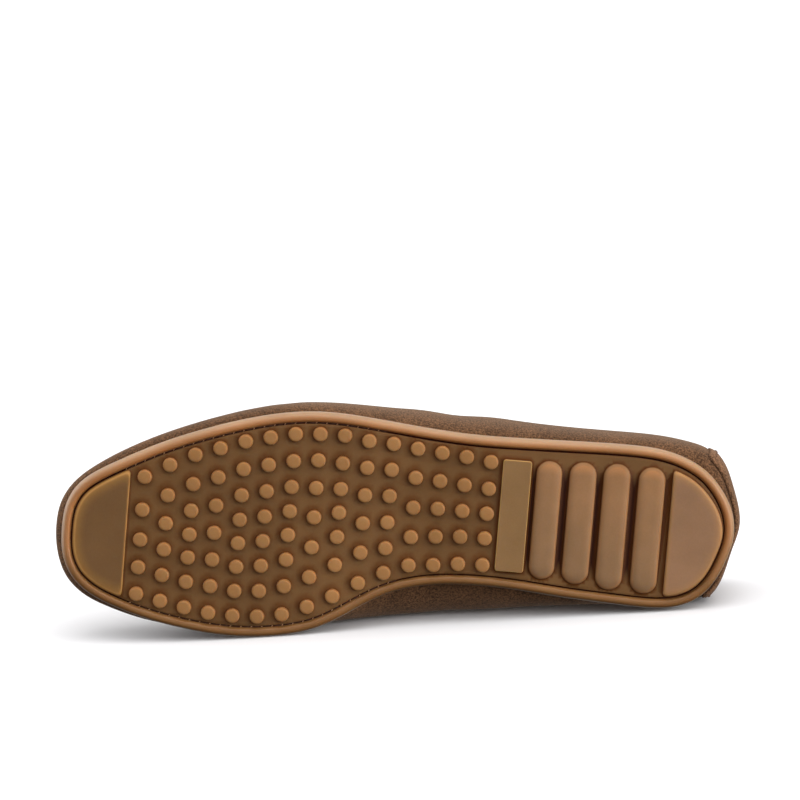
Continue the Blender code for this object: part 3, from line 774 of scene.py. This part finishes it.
def makeOutsole():
    bag = Bag()
    angles = anglesRound(outsole["around"])
    rows = []
    for inset, level, colour in edgeSection():
        loop = planPoint(solePlan, angles, inset)
        rows.append(bag.add(raised(loop, level), colour(loop) if callable(colour) else colour))
    bag.loft(rows)
    bag.cap(rows[0])

    sides = anglesRound(outsole["studSides"])
    ring = np.column_stack([np.cos(sides), np.sin(sides)]) * outsole["studRadius"]
    section = studSection()
    feet = []
    for spot in studSpots:
        feet.append(addTread(bag, [shrunk(ring + spot, row[0]) for row in section], section))
    flatSteps, roundSteps = outsole["cornerSteps"]
    section = roundBarSection()
    for bar in outsole["roundBars"]:
        loops = barLoops(bar, section, roundSteps)
        feet.append(addTread(bag, loops, section, outsole["barSpacing"], barFall(bar)))
    section = flatBarSection()
    loops = barLoops(outsole["flatBar"], section, flatSteps)
    feet.append(addTread(bag, loops, section, outsole["flatSpacing"]))
    for patch, section, middle in (("heelPatch", heelSection(), 0.0), ("toePatch", toeSection(), math.pi)):
        loops = patchLoops(outsole[patch], section, middle)
        feet.append(addTread(bag, loops, section, outsole["flatSpacing"]))
    level, spacing, margin = outsole["fieldLevel"], outsole["fieldSpacing"], outsole["fieldMargin"]
    fillFlat(bag, rows[-1], feet, lambda _: level, fieldTone, spacing, margin)
    return bag.piece("gum_outsole", "gum")


def gumRubber(name, gloss):
    material, tree, shader = newMaterial(name)
    place = addNode(tree, "ShaderNodeTexCoord")
    # the sole's per-point colours, painted shade, painted shadow and painted highlights among them
    paint = addNode(tree, "ShaderNodeAttribute", None, {"attribute_name": "gum"})
    cloudy = spread(tree, noise(tree, place, scale=45), low=0.90, high=1.08)
    speck = spread(tree, noise(tree, place, scale=1400, detail=2), low=0.965, high=1.03)
    colour = scaleColour(tree, scaleColour(tree, paint.outputs["Color"], cloudy), speck)
    tree.links.new(colour, shader.inputs["Base Color"])
    satin = spread(tree, noise(tree, place, scale=160, detail=4), low=0.30, high=0.40)
    tree.links.new(satin, shader.inputs["Roughness"])
    normal = bump(tree, noise(tree, place, scale=120), strength=0.25, distance=0.0006)
    fine = noise(tree, place, scale=2600, detail=2)
    tree.links.new(bump(tree, fine, strength=0.12, distance=0.00012, before=normal), shader.inputs["Normal"])
    setInputs(shader, {
        "Specular IOR Level": gloss,
        "Subsurface Weight": 0.35,
        "Subsurface Radius": (1.0, 0.42, 0.16),
        "Subsurface Scale": 0.0028,
    })
    return material


gumPiece = makeOutsole()
finishPiece(gumPiece, gumRubber("gum rubber", outsole["treadGloss"]), "outsole")
gumPiece.data.materials.append(gumRubber("polished gum rim", outsole["rimGloss"]))
rimStrips = outsole["beadSteps"] + 3  # the bead and its chamfer, whose faces are made first
for face in gumPiece.data.polygons[:outsole["around"] * rimStrips]:
    face.material_index = 1


# Upper: the last's ribs, worked out for many angles at once

def sectionAt(name, shares):
    return column(last["sections"], last["sectionColumns"].index(name), shares)


def ridgeHeight(shares):
    return sectionAt("ridge", shares) * last["instep"]


def ridgeStation(stations):
    # station of the ridge point that each rib runs to
    out = np.array(stations, float)
    back, front = upperPlan["back"], upperPlan["back"] + upperPlan["length"]
    for (fan, apex), end in ((last["toeFan"], front), (last["rearFan"], back)):
        reach, gather = end - fan, apex - fan
        beyond = (stations - fan) * reach > 0
        left = np.clip(1 - (stations[beyond] - fan) / reach, 0, None)
        out[beyond] = fan + gather * (1 - left ** (reach / gather))
    return out


def makeRibs(angles):
    foot = planPoint(solePlan, angles, last["lastingMargin"])
    belly = planAt(upperPlan, angles)
    apex = ridgeStation(belly[:, 0])
    share = apex / last["length"]
    outer, inner = sectionAt("outerBelly", share), sectionAt("innerBelly", share)
    rise = (inner + (outer - inner) * (0.5 + 0.5 * np.sin(angles))) * last["heelHeight"]
    nudge = 0.01  # share of the length either side, for the ridge's slope
    fall = ridgeHeight(share + nudge) - ridgeHeight(share - nudge)
    onOuterSide = np.sin(angles) >= -1e-12
    ribs = {
        "foot": np.column_stack([foot, np.full(len(angles), last["soleTop"] + last["soleGap"])]),
        "belly": np.column_stack([belly, last["soleTop"] + rise]),
        "apex": np.column_stack([apex, sectionAt("across", share) * last["ballWidth"], ridgeHeight(share)]),
        "slope": fall / (2 * nudge * last["length"]),
        "fullness": sectionAt("fullness", share),
        "tuck": np.where(onOuterSide, sectionAt("outerTuck", share), sectionAt("innerTuck", share)),
        "closed": apex >= last["throat"] - 1e-4,
    }
    low, high = np.ones(len(angles)), np.full(len(angles), 2.0)
    for _ in range(40):  # halves the range until the collar's edge is met
        way = (low + high) / 2
        point = ribPoints(ribs, way[:, None])[:, 0]
        edge = column(last["topline"], 1, point[:, 0] / last["length"]) * last["heelHeight"]
        above = point[:, 2] > edge
        low, high = np.where(above, low, way), np.where(above, way, high)
    ribs["top"] = np.where(ribs["closed"], 2.0, low)
    return ribs


def ribPoints(ribs, ways):
    # points up each rib: 0 at the foot, 1 at the belly, 2 on the ridge
    tuck, fullness, slope = (ribs[key][:, None] for key in ("tuck", "fullness", "slope"))
    foot, belly, apex = (ribs[key][:, None, :] for key in ("foot", "belly", "apex"))
    turn = np.clip(ways, 0, 1) * math.pi / 2
    out = np.sin(turn) ** (2 / tuck)
    up = 1 - np.clip(np.cos(turn), 0, None) ** (2 / tuck)
    low = foot + (belly - foot) * out[..., None]
    low[..., 2] = foot[..., 2] + (belly[..., 2] - foot[..., 2]) * up + groundRise(low[..., 0])
    turn = np.clip(ways - 1, 0, 1) * math.pi / 2
    out = 1 - np.clip(np.cos(turn), 0, None) ** (2 / fullness)
    up = np.sin(turn) ** (2 / fullness)
    start = belly.copy()
    start[..., 2] += groundRise(belly[..., 0])
    high = start + (apex - start) * out[..., None]
    lean = slope * (high[..., 0] - apex[..., 0]) * np.sin(turn) ** 2
    high[..., 2] = start[..., 2] + (apex[..., 2] - start[..., 2]) * up + lean
    return np.where((ways <= 1)[..., None], low, high)


upper = {
    "around": 480,
    "throatStations": (0.512, 0.524, 0.535, 0.545, 0.554, 0.562, 0.569, 0.574, 0.578, 0.581, 0.583),
    "clearOfThroat": 0.012,  # angle that other ribs keep from those
    "tuckRows": (0.0, 0.12, 0.25, 0.38, 0.50, 0.62, 0.74, 0.87),
    "lowRows": (0.0, 0.115, 0.23, 0.345, 0.46, 0.57, 0.67, 0.77, 0.845, 0.893, 0.926, 0.951, 0.975, 1.0),
    "highRows": (0.038, 0.077, 0.115, 0.18, 0.28, 0.41, 0.54, 0.67, 0.77, 0.86, 0.936, 1.0),
    "collarRoll": 3,
    "thickness": 1.35,
    "seamWay": 1.61,  # how far up the ribs the apron seam runs: 1 at the belly, 2 on the ridge
    "seamLimit": 0.9,  # share of a short rib that it keeps below
    "seamHeight": 1.5,
    "seamWidth": 0.022,
    "seamDips": (2.4, 0.45, 0.3),  # how many widths off it dips beside, and how deep above and below
    "seamFade": (1.66, 1.80),
    "pucker": (0.28, 5.0, 0.075),  # depth, pitch and reach of the gathers below the seam
    "puckerFrom": (205.0, 235.0),  # stations where they start and where they are full
    "puckerDrop": 0.9,  # how many reaches below the seam they are deepest
    "creases": [  # station on the outer side, on the inner side, lowest height, depth, width
        (193, 207, 34, 0.9, 4.5), (181, 193, 40, 0.7, 4.0), (203, 220, 34, 0.55, 4.0),
        (120, 116, 22, 0.6, 9.0),
    ],
    "creaseSpan": (-50.0, 40.0),  # from the inner to the outer side
    "creaseFade": 4.0,
    "creaseRidge": (1.9, 0.45),  # how many widths off a ridge stands beside a crease, and its share
    "colour": (88, 61, 41),
    "darkColour": (62, 42, 27),
}


def upperAngles():
    extra = []
    for share in (*upper["throatStations"], last["throat"] / last["length"]):
        turn = angleAt(upperPlan, share * last["length"], 1)
        extra += [turn, fullTurn - turn]
    clear = upper["clearOfThroat"]
    base = [a for a in anglesRound(upper["around"]) if min(abs(a - other) for other in extra) > clear]
    return np.array(sorted([*base, *extra]))


def seamWays(ribs):
    return np.minimum(upper["seamWay"], 1 + upper["seamLimit"] * (ribs["top"] - 1))[:, None]


def upperGrid():
    # the outer face: points, faces, ribs and how far up them, with the ridge shared by both sides
    ribs = makeRibs(upperAngles())
    count = len(ribs["top"])
    seam, top = seamWays(ribs), ribs["top"][:, None]
    tuck = np.tile(upper["tuckRows"], (count, 1))
    low, high = np.array(upper["lowRows"]), np.array(upper["highRows"])
    ways = np.hstack([tuck, 1 + low * (seam - 1), seam + high * (top - seam)])
    ids = np.arange(ways.size).reshape(ways.shape)
    for i in range(count):
        twin = (count - i) % count
        if ribs["closed"][i] and twin < i:
            ids[i, -1] = ids[twin, -1]
    points = ribPoints(ribs, ways).reshape(-1, 3)
    return {"points": points, "faces": netFaces(ids, closed=True), "ids": ids, "ribs": ribs, "ways": ways}


def creaseDepth(points):
    # soft troughs across the vamp and at the quarter, with a low ridge beside each
    depth = np.zeros(len(points))
    inner, outer = upper["creaseSpan"]
    ridgeOff, ridgeShare = upper["creaseRidge"]
    across = np.clip((points[:, 1] - inner) / (outer - inner), 0, 1)
    for outerStation, innerStation, lowest, deep, width in upper["creases"]:
        line = innerStation + (outerStation - innerStation) * across
        off = (points[:, 0] - line) / width
        mask = 1 / (1 + np.exp(-(points[:, 2] - lowest) / upper["creaseFade"]))
        depth += deep * mask * (ridgeShare * np.exp(-((np.abs(off) - ridgeOff) ** 2)) - np.exp(-off * off))
    return depth


def seamPath(grid):
    # numbers of the points along the apron seam, and how strong it is there
    row = len(upper["tuckRows"]) + len(upper["lowRows"]) - 1
    fadeFrom, fadeTo = upper["seamFade"]
    share = np.clip((grid["ribs"]["top"] - fadeFrom) / (fadeTo - fadeFrom), 0, 1)
    return grid["ids"][:, row], share * share * (3 - 2 * share)


def dressUpper():
    # raises the apron seam, gathers the toe below it and presses in the creases
    grid = upperGrid()
    points, faces = grid["points"], grid["faces"]
    normals = pointNormals(points, faces)
    ids, strength = seamPath(grid)
    way = grid["ways"] - seamWays(grid["ribs"])
    off = way / upper["seamWidth"]
    dipOff, above, below = upper["seamDips"]
    ridge = upper["seamHeight"] * np.exp(-off * off)
    ridge -= above * np.exp(-((off - dipOff) ** 2)) + below * np.exp(-((off + dipOff) ** 2))
    seam = points[ids]
    depth, pitch, reach = upper["pucker"]
    start, full = upper["puckerFrom"]
    atToe = np.clip((seam[:, 0] - start) / (full - start), 0, 1)
    wave = (np.cos(fullTurn * lengths(seam) / pitch) * atToe)[:, None]
    gathers = depth * wave * np.exp(-((way / reach + upper["puckerDrop"]) ** 2))
    move = (ridge + gathers) * strength[:, None]
    move = np.where(grid["ways"] > 1, move, 0).reshape(-1) + creaseDepth(points)
    grid["outer"] = points + normals * move[:, None]
    grid["normals"] = pointNormals(grid["outer"], faces)
    return grid


def collarRibs(grid):
    # the ribs that end at the collar, in order round it from the throat
    closed = grid["ribs"]["closed"]
    ends = [i for i in range(len(closed)) if not closed[i]]
    throat = next(i for i in range(len(closed)) if closed[i])
    return [throat] + [i for i in ends if i < throat][::-1] + [i for i in ends if i > throat][::-1]


def shell(grid, depthFrom, depthTo, name, roll):
    # a closed wall between two depths below the outer face, with a rounded edge at the collar
    ids, collar = grid["ids"], collarRibs(grid)
    outer = grid["outer"] - grid["normals"] * depthFrom
    inner = grid["outer"] - grid["normals"] * depthTo
    size, half = len(outer), (depthTo - depthFrom) / 2
    faces = bothSides(grid["faces"], size)
    points, total = [outer, inner], 2 * size
    for loop, below, steps in ((ids[:, 0], ids[:, 1], 1), (ids[collar, -1], ids[collar, -2], roll)):
        middle, side = (outer[loop] + inner[loop]) / 2, (outer[loop] - inner[loop]) / 2
        across = unit(side)
        edge = outer[loop] - outer[below]
        edge = unit(edge - across * (edge * across).sum(axis=1)[:, None])
        rows = [loop]
        for k in range(1, steps + 1):
            turn = math.pi * k / (steps + 1)
            points.append(middle + side * math.cos(turn) + edge * half * math.sin(turn))
            rows.append(range(total, total + len(loop)))
            total += len(loop)
        rows.append(loop + size)
        for first, second in zip(rows, rows[1:]):
            faces += bridged(first, second)
    used = sorted({k for face in faces for k in face})
    renumber = {k: number for number, k in enumerate(used)}
    faces = [tuple(renumber[k] for k in face) for face in faces]
    return newPiece(name, np.concatenate(points)[used], faces)


def suede(name, colour, darkColour):
    material, tree, shader = newMaterial(name)
    place = addNode(tree, "ShaderNodeTexCoord")
    nap = spread(tree, noise(tree, place, scale=60, roughness=0.6), 0.5, 1.0, fromLow=0.35, fromHigh=0.62)
    grain = noise(tree, place, scale=1350, detail=2, roughness=0.6)
    fibres = noise(tree, place, scale=2400, roughness=0.7)
    ends = {"A": solid(darkColour), "B": solid(colour)}
    mix = addNode(tree, "ShaderNodeMix", ends, {"data_type": "RGBA"})
    tree.links.new(nap, mix.inputs["Factor"])
    mottle = spread(tree, grain, low=0.4, high=1.7, fromLow=0.37, fromHigh=0.65)
    tree.links.new(scaleColour(tree, mix.outputs["Result"], mottle), shader.inputs["Base Color"])
    normal = bump(tree, grain, strength=0.55, distance=0.0005)
    tree.links.new(bump(tree, fibres, strength=0.5, distance=0.00025, before=normal), shader.inputs["Normal"])
    setInputs(shader, {
        "Roughness": 0.95,
        "Specular IOR Level": 0.04,
        "Sheen Weight": 0.17,
        "Sheen Roughness": 0.55,
        "Sheen Tint": (0.76, 0.59, 0.45, 1),
    })
    return material


upperForm = dressUpper()
upperSkin = BVHTree.FromPolygons(upperForm["outer"].tolist(), upperForm["faces"])


# Threads

stitchForm = {
    "sides": 6,
    "steps": 7,
    "endShare": 0.5,  # of the radius, at a thread's ends
    "swell": 1.3,  # radii that a running stitch rises between its ends
    "sink": 0.6,  # radii that its ends lie below the surface
}


def addThread(bag, path, radius, colour):
    # a round thread along a path, drawn in at its ends
    path = np.asarray(path, float)
    ahead = unit(np.gradient(path, axis=0))
    flat = np.eye(3)[np.argmin(np.abs(ahead.mean(axis=0)))]
    first = unit(np.cross(ahead, flat))
    second = np.cross(ahead, first)
    turns = anglesRound(stitchForm["sides"])
    rows = []
    for k in range(len(path)):
        size = radius * (stitchForm["endShare"] if k in (0, len(path) - 1) else 1.0)
        ring = path[k] + size * (np.outer(np.cos(turns), first[k]) + np.outer(np.sin(turns), second[k]))
        rows.append(bag.add(ring, solid(colour)))
    bag.loft(rows)
    bag.faces += [tuple(rows[0]), tuple(rows[-1])]


def onSkin(skin, points):
    # nearest places on a surface, and the way out of the shoe there
    hits = [skin.find_nearest(Vector(point)) for point in points]
    places, outwards = (np.array([hit[k] for hit in hits]) for k in (0, 1))
    back, front, share, height = last["core"]
    core = places * (1, share, 0) + (0, 0, height)
    core[:, 0] = np.clip(core[:, 0], back, front)
    outwards[((places - core) * outwards).sum(axis=1) < 0] *= -1
    return places, outwards


def stitchRow(path, skin, look, name):
    # a row of running stitches that rise out of the surface and sink back into it
    bag = Bag()
    path, outwards = onSkin(skin, placesAlong(path, np.arange(0, lengths(path)[-1], look["spacing"])))
    run = lengths(path)
    shares = np.linspace(0, 1, stitchForm["steps"])
    rise = look["radius"] * (stitchForm["swell"] * np.sin(shares * math.pi) - stitchForm["sink"])
    for start in np.arange(look["pitch"] / 2, run[-1] - look["length"], look["pitch"]):
        at = start + look["length"] * shares
        stitch = readAt(at, run, path) + readAt(at, run, outwards) * rise[:, None]
        addThread(bag, stitch, look["radius"], look["colour"])
    return bag.piece(name, "thread")


def threadMaterial():
    material, tree, shader = newMaterial("waxed thread")
    place = addNode(tree, "ShaderNodeTexCoord")
    paint = addNode(tree, "ShaderNodeAttribute", None, {"attribute_name": "thread"})
    twist = noise(tree, place, scale=2600, detail=2)
    shade = scaleColour(tree, paint.outputs["Color"], spread(tree, twist, low=0.75, high=1.2))
    tree.links.new(shade, shader.inputs["Base Color"])
    tree.links.new(bump(tree, twist, strength=0.5, distance=0.0002), shader.inputs["Normal"])
    setInputs(shader, {"Roughness": 0.7, "Specular IOR Level": 0.25})
    return material


waxedThread = threadMaterial()

grooveThread = {
    "stations": ((149.0, 261.0), (139.0, 256.0)),  # stitched part of the groove, outer and inner side
    "pitch": 4.4,
    "length": 3.3,
    "radius": 0.28,
    "inset": 0.1,  # towards the rim from the groove's middle
    "depth": 0.75,  # below the field
    "sag": 0.5,
    "colour": (65, 35, 22),
    "samples": 600,
    "tickAt": (0.1, 0.45, 0.8),  # behind each stitch, along the groove
    "tickAcross": (-0.25, 0.0, 0.25),
    "tickLift": 0.25,
    "tickRadius": 0.2,
    "tickColour": (176, 134, 102),
}


def grooveStitches():
    # dark threads sunk in the sole's groove round the forefoot, with a light tick at each end
    bag, look = Bag(), grooveThread
    inset = outsole["beadWidth"] + outsole["grooveWidth"] / 2 - look["inset"]
    shares = np.linspace(0, 1, stitchForm["steps"])
    for side, (back, front) in zip((1, -1), look["stations"]):
        ends = angleAt(solePlan, back, side), angleAt(solePlan, front, side)
        turns = np.linspace(*ends, look["samples"])
        path = raised(planPoint(solePlan, turns, inset), outsole["fieldLevel"] + look["depth"])
        for start in np.arange(0, lengths(path)[-1] - look["length"], look["pitch"]):
            run = placesAlong(path, start + look["length"] * shares)
            run[:, 2] += look["sag"] * (1 - np.sin(math.pi * shares))
            addThread(bag, run, look["radius"], look["colour"])
            tick = placesAlong(path, start + look["length"] + np.array(look["tickAt"]))
            across = unit(np.cross(tick[2] - tick[0], (0, 0, 1)))
            tick += np.outer(look["tickAcross"], across)
            tick[:, 2] -= look["tickLift"]
            addThread(bag, tick, look["tickRadius"], look["tickColour"])
    return bag.piece("groove_stitches", "thread")


seamThread = {
    "pitch": 4.2,
    "reach": 2.0,  # to either side of the seam
    "slant": 0.7,
    "radius": 0.36,
    "fromStrength": 0.25,  # of the seam, where the stitches begin
    "lookAhead": 0.5,  # along the seam, to read its direction
    "steps": 9,
    "rise": (0.5, 1.3, 6),  # radii up at the middle, radii down at the ends, and how late they drop
    "colour": (92, 65, 48),
}


def seamStitches():
    # whip stitches over the apron seam
    bag, look = Bag(), seamThread
    ids, strength = seamPath(upperForm)
    path = upperForm["outer"][ids[strength > look["fromStrength"]]]
    at = np.arange(look["pitch"] / 2, lengths(path)[-1], look["pitch"])
    spots, ahead = placesAlong(path, at), placesAlong(path, at + look["lookAhead"])
    _, outwards = onSkin(upperSkin, spots)
    shares = np.linspace(-1, 1, look["steps"])
    middle, drop, late = look["rise"]
    rise = (look["radius"] * (middle - drop * shares**late))[:, None]
    for spot, further, out in zip(spots, ahead, outwards):
        run = further - spot
        run /= max(np.linalg.norm(run), 1e-6)
        over = unit(np.cross(out, run)) * look["reach"] + run * look["slant"]
        places, lifts = onSkin(upperSkin, spot + np.outer(shares, over))
        addThread(bag, places + lifts * rise, look["radius"], look["colour"])
    return bag.piece("seam_stitches", "thread")


collarThread = {
    "pitch": 3.2,
    "length": 2.3,
    "radius": 0.30,
    "drop": 3.4,  # below the collar's edge
    "spacing": 0.8,  # of the places where the row is laid on the surface
    "smoothing": 6,
    "colour": (92, 65, 48),
}


def collarStitches():
    # one row of stitches a little below the collar's edge
    edge = upperForm["ids"][collarRibs(upperForm), -1]
    places = upperForm["outer"][edge]
    run = np.roll(places, -1, axis=0) - np.roll(places, 1, axis=0)
    drop = unit(np.cross(upperForm["normals"][edge], run))
    drop *= -np.sign(drop[int(places[:, 0].argmin()), 2])  # down at the heel
    path = places + drop * collarThread["drop"]
    for _ in range(collarThread["smoothing"]):
        path = (np.roll(path, 1, axis=0) + 2 * path + np.roll(path, -1, axis=0)) / 4
    return stitchRow(np.vstack([path, path[:1]]), upperSkin, collarThread, "collar_stitches")


finishPiece(grooveStitches(), waxedThread)
finishPiece(seamStitches(), waxedThread)
finishPiece(collarStitches(), waxedThread)
suedePiece = shell(upperForm, 0.0, upper["thickness"], "suede_upper", upper["collarRoll"])
finishPiece(suedePiece, suede("brown suede", upper["colour"], upper["darkColour"]), "upper")


# Lining

lining = {
    "thickness": 0.65,
    "gap": 0.03,  # taken off its outer side, to clear the suede
    "collarRoll": 1,
    "colour": (168, 128, 92),
    "poreScale": 700,
}


def leather(name, colour, poreScale):
    material, tree, shader = newMaterial(name)
    place = addNode(tree, "ShaderNodeTexCoord")
    cloudy = spread(tree, noise(tree, place, scale=30, detail=4), low=0.86, high=1.1)
    tree.links.new(scaleColour(tree, solid(colour), cloudy), shader.inputs["Base Color"])
    pores = addNode(tree, "ShaderNodeTexVoronoi", {"Scale": poreScale})
    tree.links.new(place.outputs["Object"], pores.inputs["Vector"])
    away = pores.outputs["Distance"]
    tree.links.new(spread(tree, away, 0.5, 0.66, fromLow=0.0, fromHigh=0.6), shader.inputs["Roughness"])
    tree.links.new(bump(tree, away, strength=0.3, distance=0.0002), shader.inputs["Normal"])
    setInputs(shader, {"Specular IOR Level": 0.35})
    return material


liningFrom, liningTo = upper["thickness"] + lining["gap"], upper["thickness"] + lining["thickness"]
liningPiece = shell(upperForm, liningFrom, liningTo, "leather_lining", lining["collarRoll"])
finishPiece(liningPiece, leather("tan lining leather", lining["colour"], lining["poreScale"]))


# Heel counter

heelCounter = {
    "outerSpan": (26.1, 25.2),  # degrees round the heel from its back, at the lower and the upper edge
    "innerSpan": (23.9, 22.2),
    "columns": 48,
    "rows": 26,
    "lowWay": 0.42,  # up the ribs at the lower edge
    "highShare": 0.45,  # of the side above the belly, at the upper edge
    "lift": 0.15,
    "thickness": 1.2,
    "rimShares": (0.45, 0.85, 1.0),  # of the thickness at the edge, beside it and further in
    "corner": 0.09,  # how far the front corners are rounded off
    "cornerTight": 6,
    "colour": (100, 71, 50),
    "darkColour": (73, 51, 35),
}


def fromEdge(count):
    # steps from each place in a row to the nearer end
    return np.minimum(np.arange(count), np.arange(count)[::-1])


def makeCounter():
    count, rows, lowWay = heelCounter["columns"], heelCounter["rows"], heelCounter["lowWay"]
    across = np.linspace(-1, 1, count)
    spans = np.radians([heelCounter["innerSpan"], heelCounter["outerSpan"]])
    low, high = spans[(across > 0).astype(int)].T
    points = np.zeros((count, rows, 3))
    for number, share in enumerate(np.linspace(0, 1, rows)):
        rounding = heelCounter["corner"] * abs(2 * share - 1) ** heelCounter["cornerTight"]
        ribs = makeRibs(across * (low + (high - low) * share) * (1 - rounding))
        top = 1 + heelCounter["highShare"] * (ribs["top"] - 1)
        points[:, number] = ribPoints(ribs, (lowWay + (top - lowWay) * share)[:, None])[:, 0]
    flat, size = points.reshape(-1, 3), count * rows
    ids = np.arange(size).reshape(count, rows)
    faces = netFaces(ids)
    normals = pointNormals(flat, faces)
    rim = np.minimum(fromEdge(count)[:, None], fromEdge(rows)).ravel()
    shares = np.array(heelCounter["rimShares"])[np.minimum(rim, 2)]
    outer = flat + normals * (heelCounter["lift"] + heelCounter["thickness"] * shares)[:, None]
    inner = flat + normals * heelCounter["lift"]
    border = [int(k) for k in (*ids[:, 0], *ids[-1, 1:], *ids[-2::-1, -1], *ids[0, -2:0:-1])]
    allFaces = bothSides(faces, size) + bridged([k + size for k in border], border)
    piece = newPiece("heel_counter_overlay", np.concatenate([outer, inner]), allFaces)
    return piece, outer.reshape(count, rows, 3), BVHTree.FromPolygons(outer.tolist(), faces)


counterThread = {
    "pitch": 3.0,
    "length": 2.2,
    "radius": 0.28,
    "inset": 2.2,  # in from the counter's edge
    "spacing": 0.6,
    "colour": (92, 65, 48),
}


def counterStitches(grid, skin):
    # a row of stitches inside the counter's front and upper edges
    def inside(line):
        return np.searchsorted(lengths(line), counterThread["inset"])

    columns, rows = grid.shape[:2]
    side = inside(grid[:, rows // 2])
    up = rows - 1 - inside(grid[columns // 2, ::-1])
    start = inside(grid[side])
    route = [*grid[side, start:up], *grid[side:-side, up], *grid[-side - 1, start:up][::-1]]
    return stitchRow(np.array(route), skin, counterThread, "counter_stitches")


counterPiece, counterGrid, counterSkin = makeCounter()
counterSuede = suede("counter suede", heelCounter["colour"], heelCounter["darkColour"])
finishPiece(counterStitches(counterGrid, counterSkin), waxedThread)
finishPiece(counterPiece, counterSuede, "heel_counter")


# Sock inside the shoe

sock = {
    "inset": 5.3,
    "bottom": 10.9,
    "thickness": 2.5,
    "edge": 0.8,
    "edgeTurns": (0.5, 1.0, math.pi / 2),
    "cup": 0.9,
    "cupAt": (6.0, 14.0),  # in from the edge, where it is half and fully cupped
    "around": 240,
    "colour": (214, 164, 118),
    "poreScale": 900,
}


def makeSock():
    bag = Bag()
    angles = anglesRound(sock["around"])
    bottom, top, edge = sock["bottom"], sock["bottom"] + sock["thickness"], sock["edge"]
    halfAt, fullAt = sock["cupAt"]
    section = [(halfAt, bottom), (0.0, bottom), (0.0, top - edge)]  # inset, level
    for turn in sock["edgeTurns"]:
        section.append((edge * (1 - math.cos(turn)), top - edge * (1 - math.sin(turn))))
    section += [(halfAt, top - sock["cup"] / 2), (fullAt, top - sock["cup"])]
    rows = []
    for inset, level in section:
        rows.append(bag.add(raised(planPoint(solePlan, angles, sock["inset"] + inset), level)))
    bag.loft(rows)
    bag.cap(rows[0])
    bag.cap(rows[-1])
    return bag.piece("leather_sock")


finishPiece(makeSock(), leather("tan sock leather", sock["colour"], sock["poreScale"]), "insole")


# Floor, light and camera

floorLook = {
    "colour": (0.76, 0.755, 0.765, 1),
    "roughness": 0.6,
    "gloss": 0.1,
    "bounce": False,  # whether the floor throws light back up at the shoe
    "size": 120.0,
}


def makeFloor():
    half = floorLook["size"] / 2
    mesh = bpy.data.meshes.new("floor")
    corners = [(-half, -half, 0), (half, -half, 0), (half, half, 0), (-half, half, 0)]
    mesh.from_pydata(corners, [], [(0, 1, 2, 3)])
    floor = addObject("floor", mesh)
    material, _, shader = newMaterial("pale floor")
    setInputs(shader, {
        "Base Color": floorLook["colour"],
        "Roughness": floorLook["roughness"],
        "Specular IOR Level": floorLook["gloss"],
    })
    mesh.materials.append(material)
    floor.visible_diffuse = floorLook["bounce"]
    floor.visible_glossy = floorLook["bounce"]


softbox = {
    "place": (1.3, -0.6, 0.42),
    "aim": (0, -0.03, 0.04),
    "width": 0.5,
    "power": 6,
}


def makeSoftbox():
    lamp = bpy.data.lights.new("right softbox", "AREA")
    lamp.shape = "SQUARE"
    lamp.size = softbox["width"]
    lamp.energy = softbox["power"]
    light = addObject("right softbox", lamp)
    light.location = softbox["place"]
    away = Vector(softbox["place"]) - Vector(softbox["aim"])
    light.rotation_euler = away.to_track_quat("Z", "Y").to_euler()


sky = {
    "low": 0.03,  # light from near the horizon
    "rise": 0.72,  # added towards straight above
    "riseTight": 2.0,
    "back": 1.15,  # added towards the wall behind the shoe
    "backTight": 4.0,
    "banks": [  # soft banks of light far off: direction, strength, tightness
        ((0.10, -0.28, 0.95), 2.75, 5.0),
        ((0.84, -0.54, 0.06), 6.6, 14.0),
        ((0.13, -0.97, 0.20), 0.9, 4.0),
        ((-0.92, 0.24, 0.30), 4.2, 8.0),
    ],
}


def makeSky():
    world = bpy.data.worlds.new("studio")
    world.use_nodes = True
    tree = world.node_tree
    towards = addNode(tree, "ShaderNodeTexCoord").outputs["Generated"]
    split = addNode(tree, "ShaderNodeSeparateXYZ")
    tree.links.new(towards, split.inputs["Vector"])

    def glow(facing, tight, bright):
        facing = mathNode(tree, "MAXIMUM", facing, 0.0)
        return mathNode(tree, "MULTIPLY", mathNode(tree, "POWER", facing, tight), bright)

    above = glow(split.outputs["Z"], sky["riseTight"], sky["rise"])
    behind = glow(split.outputs["Y"], sky["backTight"], sky["back"])
    strength = mathNode(tree, "ADD", mathNode(tree, "ADD", above, sky["low"]), behind)
    for direction, bright, tight in sky["banks"]:
        facing = addNode(tree, "ShaderNodeVectorMath", None, {"operation": "DOT_PRODUCT"})
        facing.inputs[1].default_value = Vector(direction).normalized()
        tree.links.new(towards, facing.inputs[0])
        strength = mathNode(tree, "ADD", strength, glow(facing.outputs["Value"], tight, bright))
    background = tree.nodes["Background"]
    background.inputs["Color"].default_value = (1, 1, 1, 1)
    tree.links.new(strength, background.inputs["Strength"])
    bpy.context.scene.world = world


view = {
    "place": (0.0169, -1.2149, 0.2734),
    "turn": (81.5, 3.644, 0.044),
    "lens": 128.5,
    "sensor": 36.0,
    "farthest": 200,
}


def makeCamera():
    lens = bpy.data.cameras.new("photo camera")
    lens.lens = view["lens"]
    lens.sensor_width = view["sensor"]
    lens.clip_end = view["farthest"]
    camera = addObject("photo camera", lens)
    camera.location = view["place"]
    camera.rotation_euler = Euler([math.radians(v) for v in view["turn"]], "XYZ")
    bpy.context.scene.camera = camera
    bpy.context.scene.view_settings.view_transform = "Standard"


makeFloor()
makeSoftbox()
makeSky()
makeCamera()
print("floor, light and camera ready")
